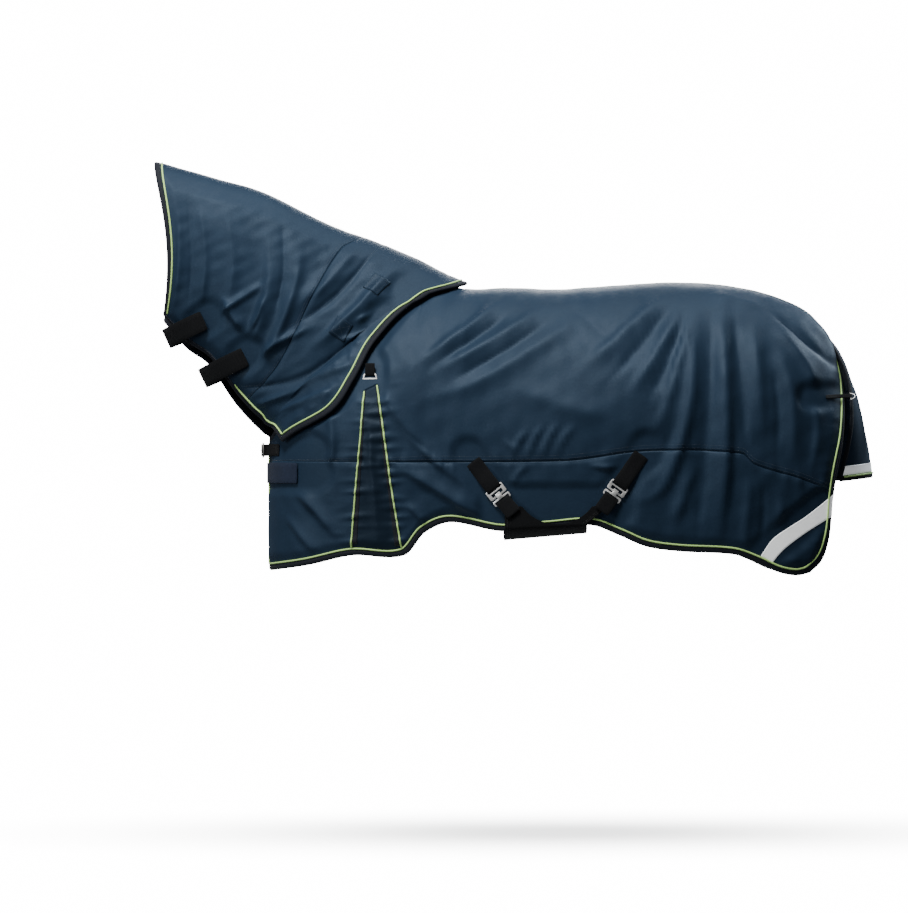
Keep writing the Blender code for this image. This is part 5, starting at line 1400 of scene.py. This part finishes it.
class NeckCoverTrim(bpy.types.Operator):
    """Binding, lime piping and the four square patches of the neck cover"""
    bl_idname = "rug.neck_cover_trim"
    bl_label = "Neck cover trim"

    def execute(self, context):
        radius = context.scene.rug_sizes.piping_radius
        binding = channel("hood_binding_tape", *hood_rim(), HOOD_SECTION)
        finished(binding, look("binding"), "hood", ["hood_binding"])
        for word, a in HOOD_PIPING_A.items():
            phi = np.linspace(HOOD_PIPING_SHORT - HOOD_FAR_EDGE,
                              HOOD_NEAR_EDGE - HOOD_PIPING_SHORT, 200)
            piece = hood_cord(word, np.full(200, a), phi, radius)
            finished(piece, look("piping"), "hood", [f"hood_piping_{word}"])
        for which, edge, far in (("left", HOOD_NEAR_EDGE, 1), ("right", HOOD_FAR_EDGE, -1)):
            a = np.append(np.full(8, HOOD_PIPING_A["rear"]),
                          np.linspace(THROAT_CORNER[1], THROAT_PIPING_END, 80))
            turn = edge - THROAT_PIPING_INSET
            phi = np.append(np.linspace(edge - THROAT_CORNER[0], turn, 8), np.full(80, turn))
            piece = hood_cord(f"throat_{which}", a, phi * far, radius)
            finished(piece, look("piping"), "hood")
        for word, (a, degrees) in PATCHES.items():
            for which, side in SIDES.items():
                put = patch_place(a, degrees, side)
                piece = cloth(f"hood_patch_cloth_{word}_{which}", 16, 16,
                              lambda u, v, here=put: here(u, v, PATCH_LIFT),
                              lambda u, v: (u * PATCH_SIZE, v * PATCH_SIZE), thick=PATCH_THICK)
                finished(piece, look("patch"), "hood",
                         [f"hood_patch_{word}_{which}"])
        return {"FINISHED"}


def patch_place(a, degrees, side):
    """Points of a square patch on the neck cover, from shares across and down it."""
    phi = math.radians(degrees) * -side
    ends = hood(np.array([a, a]), np.array([phi + 0.05, phi - 0.05]), 0)
    span = PATCH_SIZE / (np.linalg.norm(ends[0] - ends[1]) / 0.1)
    ends = hood(np.array([a + 0.02, a - 0.02]), np.array([phi, phi]), 0)
    wide = PATCH_SIZE / (np.linalg.norm(ends[0] - ends[1]) / 0.04)

    def put(u, v, lift):
        u, v = np.asarray(u, float), np.asarray(v, float)
        return hood_point(a + (u - 0.5) * wide, phi + (v - 0.5) * span, lift, folded=True)

    return put


# Tail flap

FLAP_END = 1 - BINDING_WIDTH / FLAP_LENGTH
FLAP_FLAT_WIDTH, FLAP_TOP = 0.42, FLAP_THICK / 2
FLAP_TAPE_A, FLAP_TAPE_THICK, FLAP_TAPE_FLAT = (0.893, 0.953), 0.0006, (0.42, 0.03)
FLAP_LINE_SHORT = 0.02


def flap_point(a, b, lift, folded=True):
    height = 0.0
    if folded:
        height = fold_height(FLAP_FOLDS, a, b) * ease(a / 0.15)
        height = height * ease((FLAP_EDGE - np.abs(b)) / 0.2) * ease((0.9 - a) / 0.12)
    return flap(a, b, lift + height)


def flap_rim():
    """Edge points of the flap with the ways out and up, open at the dock."""
    outline = turned_outline(((0, -FLAP_EDGE), (FLAP_END, -FLAP_EDGE), (FLAP_END, FLAP_EDGE),
                              (0, FLAP_EDGE)), ((0, -1), (1, 0), (0, 1)), 60)
    return outline_frames(lambda a, b: flap(a, b, 0), bare_flap, outline, spans=(0.01, 0.02),
                          step=0.01)


def flap_row(a, lift):
    """Points of a line straight across the flap."""
    b = np.linspace(FLAP_LINE_SHORT - FLAP_EDGE, FLAP_EDGE - FLAP_LINE_SHORT, 120)
    return flap(np.full(120, a), b, FLAP_TOP + lift)


class TailFlap(bpy.types.Operator):
    """Tail flap with its binding, reflective strip and a line of lime piping"""
    bl_idname = "rug.tail_flap"
    bl_label = "Tail flap"

    def execute(self, context):
        radius = context.scene.rug_sizes.piping_radius

        def place(u, v):
            return flap_point(u * FLAP_END, mix(-FLAP_EDGE, FLAP_EDGE, v), 0)

        def lay(u, v):
            return u * FLAP_LENGTH, v * FLAP_FLAT_WIDTH

        shell = cloth("tail_flap_cloth", 80, 90, place, lay, thick=FLAP_THICK)
        finished(shell, look("shell"), "tail_flap", ["tail_flap"])
        binding = channel("tail_flap_binding_tape", *flap_rim(), FLAP_SECTION)
        finished(binding, look("binding"), "tail_flap", ["tail_flap_binding"])

        def strip(u, v):
            return flap(mix(*FLAP_TAPE_A, v), mix(-FLAP_EDGE, FLAP_EDGE, u),
                        FLAP_TOP + FLAP_TAPE_THICK)

        tape = cloth("tail_reflector_tape", 80, 8, strip,
                     lambda u, v: (u * FLAP_TAPE_FLAT[0], v * FLAP_TAPE_FLAT[1]),
                     thick=FLAP_TAPE_THICK)
        finished(tape, look("tape"), "tail_flap", ["tail_reflector"])
        path = flap_row(FLAP_END - 0.006, radius * 0.7)
        finished(cord_piece("tail_flap_piping", path, radius), look("piping"), "tail_flap")
        return {"FINISHED"}


# Webbing

STRAP_WIDTHS = {
    "front_surcingle_left": (0.048, "rug"), "rear_surcingle_left": (0.048, "rug"),
    "front_surcingle_right": (0.048, "rug"), "rear_surcingle_right": (0.048, "rug"),
    "front_girth_tab": (0.048, "front_hook"), "rear_girth_tab": (0.048, "rear_hook"),
    "chest_tab_left": (0.036, "rug"), "chest_tab_right": (0.036, "rug"),
    "gusset_tab_left": (0.03, "rug"), "gusset_tab_right": (0.03, "rug"),
    "tail_tab_left": (0.014, "rug"), "tail_tab_right": (0.014, "rug"),
    "chest_band": (0.062, "chest_band"), "throat_strap_front": (0.06, "throat_strap_front"),
    "throat_strap_rear": (0.06, "throat_strap_rear")}


def merged_copy(name, node):
    """A copy of a model's piece with its loose triangles joined into flat faces."""
    obj = NODES[node].copy()
    obj.data = NODES[node].data.copy()
    for key in list(obj.keys()):
        del obj[key]
    obj.parent = None
    bpy.context.scene.collection.objects.link(obj)
    obj.name = obj.data.name = name
    work = bmesh.new()
    work.from_mesh(obj.data)
    bmesh.ops.remove_doubles(work, verts=work.verts, dist=0.00002)
    bmesh.ops.join_triangles(work, faces=work.faces, angle_face_threshold=0.06,
                             angle_shape_threshold=3.1, cmp_sharp=False)
    work.to_mesh(obj.data)
    work.free()
    while obj.data.uv_layers:
        obj.data.uv_layers.remove(obj.data.uv_layers[0])
    obj.data.uv_layers.new(name="cloth")
    if "custom_normal" in obj.data.attributes:
        obj.data.attributes.remove(obj.data.attributes["custom_normal"])
    return obj


def lay_strap(obj, width):
    """UVs in metres: across the strap, and along it from station to station."""
    data = obj.data
    points = np.array([v.co for v in data.vertices])
    ends = np.array([e.vertices for e in data.edges])
    spans = points[ends[:, 1]] - points[ends[:, 0]]
    lengths = np.linalg.norm(spans, axis=1)
    rungs = spans[np.abs(lengths - width) < 0.03 * width]
    rungs = rungs * np.sign(rungs @ rungs[0])[:, None]
    across = unit(np.median(rungs, axis=0))
    u = points @ across
    u = u - u.mean()
    flat = points - np.outer(points @ across, across)
    near = flat[np.argmin(flat @ unit(flat[np.argmax(np.linalg.norm(flat - flat[0], axis=1))]
                                      - flat[0]))]
    v = np.linalg.norm(flat - near, axis=1)
    layer = data.uv_layers["cloth"]
    loops = np.empty(len(data.loops), np.int32)
    data.loops.foreach_get("vertex_index", loops)
    layer.data.foreach_set("uv", np.stack([u, v], 1)[loops].astype(np.float32).ravel())


def softened(obj, levels=2, crease=0.75, sharp=50):
    """Rounds the bends and edges with subdivision, held near its sharp edges."""
    work = bmesh.new()
    work.from_mesh(obj.data)
    layer = work.edges.layers.float.get("crease_edge") \
        or work.edges.layers.float.new("crease_edge")
    for edge in work.edges:
        if len(edge.link_faces) != 2 or edge.calc_face_angle(0) > math.radians(sharp):
            edge[layer] = crease
    work.to_mesh(obj.data)
    work.free()
    apply(obj, "SUBSURF", levels=levels, render_levels=levels)
    obj.data.shade_smooth()


class WebbingStraps(bpy.types.Operator):
    """Surcingles, girth tabs, chest band and tabs, throat straps and small stitched tabs"""
    bl_idname = "rug.webbing_straps"
    bl_label = "Webbing straps"

    def execute(self, context):
        for node, (width, body) in STRAP_WIDTHS.items():
            piece = merged_copy(f"{node}_webbing", node)
            lay_strap(piece, width)
            softened(piece)
            finished(piece, look("chest_band" if node == "chest_band" else "webbing"), body,
                     [node])
        return {"FINISHED"}


def girth_place(u, v):
    """Points of the girth: u from front to rear, v from the left horn to the right one."""
    share = 1 - np.abs(2 * v - 1)
    top = np.maximum(1 - share / GIRTH_STRAIGHT, 0)
    front = mix(GIRTH_BOTTOM_X[0], GIRTH_TOP_X[0], top)
    rear = mix(GIRTH_BOTTOM_X[1], GIRTH_TOP_X[1], top)
    x = mix(front, rear, u)
    wide = half_width(x, np.full(np.shape(x), GIRTH_TOP_Z)) + GIRTH_LIFT
    turn = np.clip((share - GIRTH_STRAIGHT) / (1 - GIRTH_STRAIGHT), 0, 1) * math.pi / 2
    straight = share < GIRTH_STRAIGHT
    y = np.where(straight, wide, wide * np.maximum(np.cos(turn), 0) ** 0.5)
    turn_z, bottom_z = mix(*GIRTH_TURN_Z, u), mix(*GIRTH_BOTTOM_Z, u)
    fall = GIRTH_TOP_Z - (GIRTH_TOP_Z - turn_z) * share / GIRTH_STRAIGHT
    z = np.where(straight, fall, turn_z - (turn_z - bottom_z) * np.sin(turn) ** 0.9)
    return np.stack([x, np.where(v < 0.5, -1, 1) * y, z], 1)


def edges_broken(obj, width, degrees, **settings):
    """Bevels the edges sharper than an angle, and shades across the softer ones."""
    angle = math.radians(degrees)
    apply(obj, "BEVEL", width=width, segments=2, limit_method="ANGLE", angle_limit=angle,
          **settings)
    only(obj)
    bpy.ops.object.shade_smooth_by_angle(angle=angle)


class BellyGirth(bpy.types.Operator):
    """Wide girth under the belly with its hollowed upper edge"""
    bl_idname = "rug.belly_girth"
    bl_label = "Belly girth"

    def execute(self, context):
        girth = cloth("belly_girth_webbing", 48, 150, girth_place,
                      lambda u, v: (u * GIRTH_FLAT[0], v * GIRTH_FLAT[1]), thick=GIRTH_THICK)
        radius, x, z = GIRTH_CUT
        bpy.ops.object.select_all(action="DESELECT")
        bpy.ops.mesh.primitive_cylinder_add(vertices=96, radius=radius, depth=0.9,
                                            location=(x, 0, z), rotation=(math.pi / 2, 0, 0))
        cutter = context.object
        apply(girth, "BOOLEAN", operation="DIFFERENCE", object=cutter, solver="EXACT")
        bpy.data.objects.remove(cutter)
        girth.data.shade_smooth()
        edges_broken(girth, GIRTH_EDGE, 50)
        finished(girth, look("webbing"), "rug", ["belly_girth"])
        return {"FINISHED"}


HARDWARE = {
    "front_slot_plate": ("rug", 0.0005), "rear_slot_plate": ("rug", 0.0005),
    "front_hook": ("front_hook", 0.0005), "rear_hook": ("rear_hook", 0.0005),
    "front_keeper": ("front_keeper", 0.0004), "rear_keeper": ("rear_keeper", 0.0004),
    "gusset_keeper_left": ("gusset_keeper_left", 0.0004),
    "gusset_keeper_right": ("gusset_keeper_right", 0.0004), "snap_eye": ("rug", 0.0003),
    "chest_snap": ("snap", 0.0003), "chest_snap_gate": ("snap_gate", 0.0002),
    "chest_ring": ("chest_ring", 0), "tail_ring_left": ("tail_ring_left", 0),
    "tail_ring_right": ("tail_ring_right", 0)}


class Hardware(bpy.types.Operator):
    """Slot plates, hooks, keepers, rings and the trigger snap, with their edges broken"""
    bl_idname = "rug.hardware"
    bl_label = "Hardware"

    def execute(self, context):
        for node, (body, edge) in HARDWARE.items():
            piece = merged_copy(f"{node}_metal", node)
            if edge:
                edges_broken(piece, edge, 35, use_clamp_overlap=True)
            else:
                softened(piece, crease=0.0)
            finished(piece, look("metal"), body, [node])
        return {"FINISHED"}


# Stitching

SEAM_ROWS, THREAD_SEAT = (-0.075, -0.165), 0.0001
TAPE_THREAD_LIFT, PATCH_THREAD_LIFT = REFLECTOR_LIFT + 0.0005, HOOD_TOP + 0.0021
FLAP_ROWS, FLAP_THREAD_LIFT = (FLAP_TAPE_A[0] + 0.005, FLAP_TAPE_A[1] - 0.006), 0.0011
GUSSET_ROWS = (GUSSET_START + 0.22, GUSSET_END - 0.22)


def hood_places(line, side):
    """(a, phi) of points on the neck cover that lie on a side-view line."""
    path, _ = resampled([(x, 0, z) for x, z in smooth_line(line)], 0.004)
    path = path[:, [0, 2]]
    a, phi = (grid.ravel() for grid in np.meshgrid(
        np.linspace(0, 1, 80), np.linspace(0.1, HOOD_NEAR_EDGE, 80)))
    known = bare_hood(a, phi)[:, [0, 2]]
    near = np.linalg.norm(path[:, None] - known[None], axis=2).argmin(1)
    a, phi, step = a[near], phi[near], 0.001
    for _ in range(4):
        here = bare_hood(a, phi)[:, [0, 2]]
        by_a = (bare_hood(a + step, phi)[:, [0, 2]] - here) / step
        by_phi = (bare_hood(a, phi + step)[:, [0, 2]] - here) / step
        miss = path - here
        spread = by_a[:, 0] * by_phi[:, 1] - by_a[:, 1] * by_phi[:, 0]
        a = a + (miss[:, 0] * by_phi[:, 1] - miss[:, 1] * by_phi[:, 0]) / spread
        phi = phi + (by_a[:, 0] * miss[:, 1] - by_a[:, 1] * miss[:, 0]) / spread
    return np.clip(a, 0, 1), np.clip(phi, 0, HOOD_NEAR_EDGE) * -side


def rug_row(i, j, side):
    return shell_point(i, j, side, SHELL_TOP + THREAD_SEAT)


def square_stitch(put, lift, edge=0.12):
    """Rows of a boxed cross in a patch: its square and both diagonals."""
    low, high = edge, 1 - edge
    corners = ((low, low), (high, low), (high, high), (low, high), (low, low), (high, high))
    rows = []
    for (u0, v0), (u1, v1) in [*zip(corners, corners[1:]), ((high, low), (low, high))]:
        share = np.linspace(0, 1, 12)
        rows.append(put(mix(u0, u1, share), mix(v0, v1, share), lift))
    return rows


def body_rows(side):
    """Thread rows on one side of the rug: long seam, gusset tapes and binding."""
    rows = []
    for start, end in ((0, GUSSET_START), (GUSSET_END, COLUMNS)):
        i = np.linspace(start + 0.05, end - 0.05, 400)
        rows += [rug_row(i, np.full(400, SEAM_ROW + offset), side) for offset in SEAM_ROWS]
    j = np.linspace(TOP_ROWS + 0.1, GUSSET_TAPE_END, 150)
    rows += [rug_row(np.full(150, i), j, side) for i in GUSSET_ROWS]
    edge, out, up = rim_frames()
    rows.append(mirrored(edge - out * 0.0012 + up * 0.0064, side)[6:-3])
    return rows


def neck_rows():
    """Thread rows on the neck cover: binding, lapped seam, crest and cross seams, patches."""
    edge, out, up = hood_rim()
    rows = [edge - out * 0.0012 + up * 0.0054]
    phi = np.linspace(-HOOD_FAR_EDGE + 0.03, HOOD_NEAR_EDGE - 0.03, 400)
    rows += [hood_point(np.full(400, HOOD_SEAM_A + step), phi, HOOD_TOP + THREAD_SEAT)
             for step in (-0.007, -0.015)]
    for side in SIDES.values():
        for line in (CREST_SEAM, CROSS_SEAM):
            for drop in (0.004, -0.004):
                a, phi = hood_places([(x, z + drop) for x, z in line], side)
                rows.append(hood_point(a, phi, HOOD_TOP + THREAD_SEAT))
        for at, degrees in PATCHES.values():
            rows += square_stitch(patch_place(at, degrees, side), PATCH_THREAD_LIFT)
    return rows


def girth_rows():
    """Two thread rows along each edge of the girth."""
    v = np.linspace(0.01, 0.99, 300)
    raised = girth_out(v) * (GIRTH_THICK / 2)
    return [girth_place(np.full(300, u), v) + raised for u in (0.03, 0.97, 0.06, 0.94)]


class Stitching(bpy.types.Operator):
    """Thread rows on the seams, binding, reflectors, patches and webbing"""
    bl_idname = "rug.stitching"
    bl_label = "Stitching"

    def execute(self, context):
        pitch = context.scene.rug_sizes.stitch_pitch
        navy, black, grey = look("navy_thread"), look("black_thread"), look("grey_thread")
        seams = [row for side in SIDES.values() for row in body_rows(side)]
        stitches("body_seam_stitching", seams, navy, "rug", pitch)
        u = np.linspace(0.02, 0.98, 60)
        tapes = [reflector_point(u, v, TAPE_THREAD_LIFT, side)
                 for side in SIDES.values() for v in (0.06, 0.94)]
        stitches("reflector_stitching", tapes, grey, "rug", pitch)
        stitches("neck_cover_stitching", neck_rows(), navy, "hood", pitch)
        edge, out, up = flap_rim()
        rows = [edge - out * 0.001 + up * 0.003]
        rows += [flap_row(a, FLAP_THREAD_LIFT) for a in FLAP_ROWS]
        stitches("tail_flap_stitching", rows, navy, "tail_flap", pitch)
        stitches("girth_stitching", girth_rows(), black, "rug", pitch)
        return {"FINISHED"}


def girth_out(v):
    """Outward way from the girth's surface, level at the horns and downward below."""
    here = girth_place(np.full(len(v), 0.5), v)
    run = np.gradient(here, axis=0)
    out = np.stack([np.zeros(len(v)), run[:, 2], -run[:, 1]], 1)
    return unit(out)


# Stage

# The floor's fade and oval leave a grey patch under the rug that fades into the white backdrop: a
# painted shadow.
FLOOR_Z, FLOOR_SIZE, FLOOR_SHADOW_FADE, FLOOR_COVER = -1.65, 8, (0.1, 1.9), 0.86
FLOOR_X, FLOOR_SHADOW_OVAL = 0.3, (0.9, 1.2, 1.0)
SENSOR, VIEW_HEIGHT, VIEW_CENTRE = 36.0, 2.776, (-0.024, -0.506)
WORLD_COLOUR, WORLD_STRENGTH = (0.9, 0.95, 1.0), 0.16
BACKDROP_COLOUR, BACKDROP_STRENGTH = (1.0, 1.0, 1.0), 16.0
LIGHTS = (
    ("key", (-1.5, -3.0, 4.4), (0.25, 0.0, -0.35), 1.7, 560, (1.0, 0.99, 0.97)),
    ("top", (0.9, -0.5, 4.5), (0.4, 0.0, 0.0), 2.2, 150, (0.9, 0.96, 1.0)),
    ("fill", (-4.0, -3.4, 0.4), (-0.4, 0.0, -0.4), 2.6, 110, (0.95, 0.98, 1.0)),
    ("back fill", (0.3, 4.8, 2.2), (0.2, 0.0, -0.3), 2.6, 170, (0.95, 0.98, 1.0)),
    ("rim", (4.2, 2.6, 2.6), (0.6, 0.0, -0.2), 1.6, 180, (0.75, 0.88, 1.0)),
)


def add_light(name, place, target, size, power, colour):
    """A round area light that faces a target."""
    data = bpy.data.lights.new(name, "AREA")
    data.shape, data.size, data.energy, data.color = "DISK", size, power, colour
    lamp = bpy.data.objects.new(name, data)
    lamp.location = place
    lamp.rotation_euler = (Vector(target) - Vector(place)).to_track_quat("-Z", "Y").to_euler()
    bpy.context.scene.collection.objects.link(lamp)


def studio_world():
    """Soft surrounding light, with a plain white backdrop behind the rug."""
    world = bpy.data.worlds.new("studio")
    world.use_nodes = True
    nodes, links = world.node_tree.nodes, world.node_tree.links
    sky, seen = nodes["Background"], nodes.new("ShaderNodeBackground")
    for made, colour, strength in ((sky, WORLD_COLOUR, WORLD_STRENGTH),
                                   (seen, BACKDROP_COLOUR, BACKDROP_STRENGTH)):
        made.inputs["Color"].default_value = (*colour, 1)
        made.inputs["Strength"].default_value = strength
    which, path = nodes.new("ShaderNodeMixShader"), nodes.new("ShaderNodeLightPath")
    for source, socket in ((path.outputs["Is Camera Ray"], which.inputs[0]),
                           (sky.outputs[0], which.inputs[1]),
                           (seen.outputs[0], which.inputs[2]),
                           (which.outputs[0], nodes["World Output"].inputs["Surface"])):
        links.new(source, socket)
    return world


class Stage(bpy.types.Operator):
    """Pale floor, soft studio light and the camera"""
    bl_idname = "rug.stage"
    bl_label = "Stage"

    def execute(self, context):
        bpy.ops.object.select_all(action="DESELECT")
        bpy.ops.mesh.primitive_grid_add(x_subdivisions=8, y_subdivisions=8, size=FLOOR_SIZE,
                                        location=(FLOOR_X, 0, FLOOR_Z))
        floor = context.object
        floor.name = "studio_floor"
        floor.data.materials.append(look("floor"))
        floor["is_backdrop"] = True
        for facts in LIGHTS:
            add_light(*facts)
        context.scene.world = studio_world()
        away = context.scene.rug_sizes.camera_distance
        data = bpy.data.cameras.new("studio_camera")
        data.sensor_width = SENSOR
        data.lens = SENSOR * away / VIEW_HEIGHT
        data.clip_end = away * 10
        camera = bpy.data.objects.new("studio_camera", data)
        camera.location = (VIEW_CENTRE[0], -away, VIEW_CENTRE[1])
        camera.rotation_euler = (math.pi / 2, 0, 0)
        context.scene.collection.objects.link(camera)
        context.scene.camera = camera
        return {"FINISHED"}


class RugPanel(bpy.types.Panel):
    """Lists the pieces of the rug"""
    bl_idname = "VIEW3D_PT_turnout_rug"
    bl_label = "Turnout rug"
    bl_space_type = "VIEW_3D"
    bl_region_type = "UI"
    bl_category = "Rug"

    def draw(self, context):
        column = self.layout.column(align=True)
        for maker in OPERATORS:
            column.operator(maker.bl_idname)
        for group in (context.scene.rug_sizes, context.scene.rug_colours):
            for name in group.bl_rna.properties.keys()[2:]:
                column.prop(group, name)


OPERATORS = (Stage, LiningAndWadding, OuterShell, EdgeBinding, EdgePiping, RearReflectors,
             NeckCover, NeckCoverTrim, TailFlap, WebbingStraps, BellyGirth, Hardware, Stitching)
CLASSES = (RugColours, RugSizes, *OPERATORS, RugPanel)


def register():
    for made in CLASSES:
        bpy.utils.register_class(made)
    bpy.types.Scene.rug_colours = bpy.props.PointerProperty(type=RugColours)
    bpy.types.Scene.rug_sizes = bpy.props.PointerProperty(type=RugSizes)


def unregister():
    del bpy.types.Scene.rug_sizes
    del bpy.types.Scene.rug_colours
    for made in reversed(CLASSES):
        bpy.utils.unregister_class(made)


def corners(box):
    return [[float(value) for value in corner] for corner in box]


def main():
    register()
    for maker in OPERATORS:
        group, name = maker.bl_idname.split(".")
        getattr(getattr(bpy.ops, group), name)()
    bpy.context.view_layer.update()
    {"model": corners(MODEL_BOX), "visual": corners(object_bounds())}


if __name__ == "__main__":
    main()
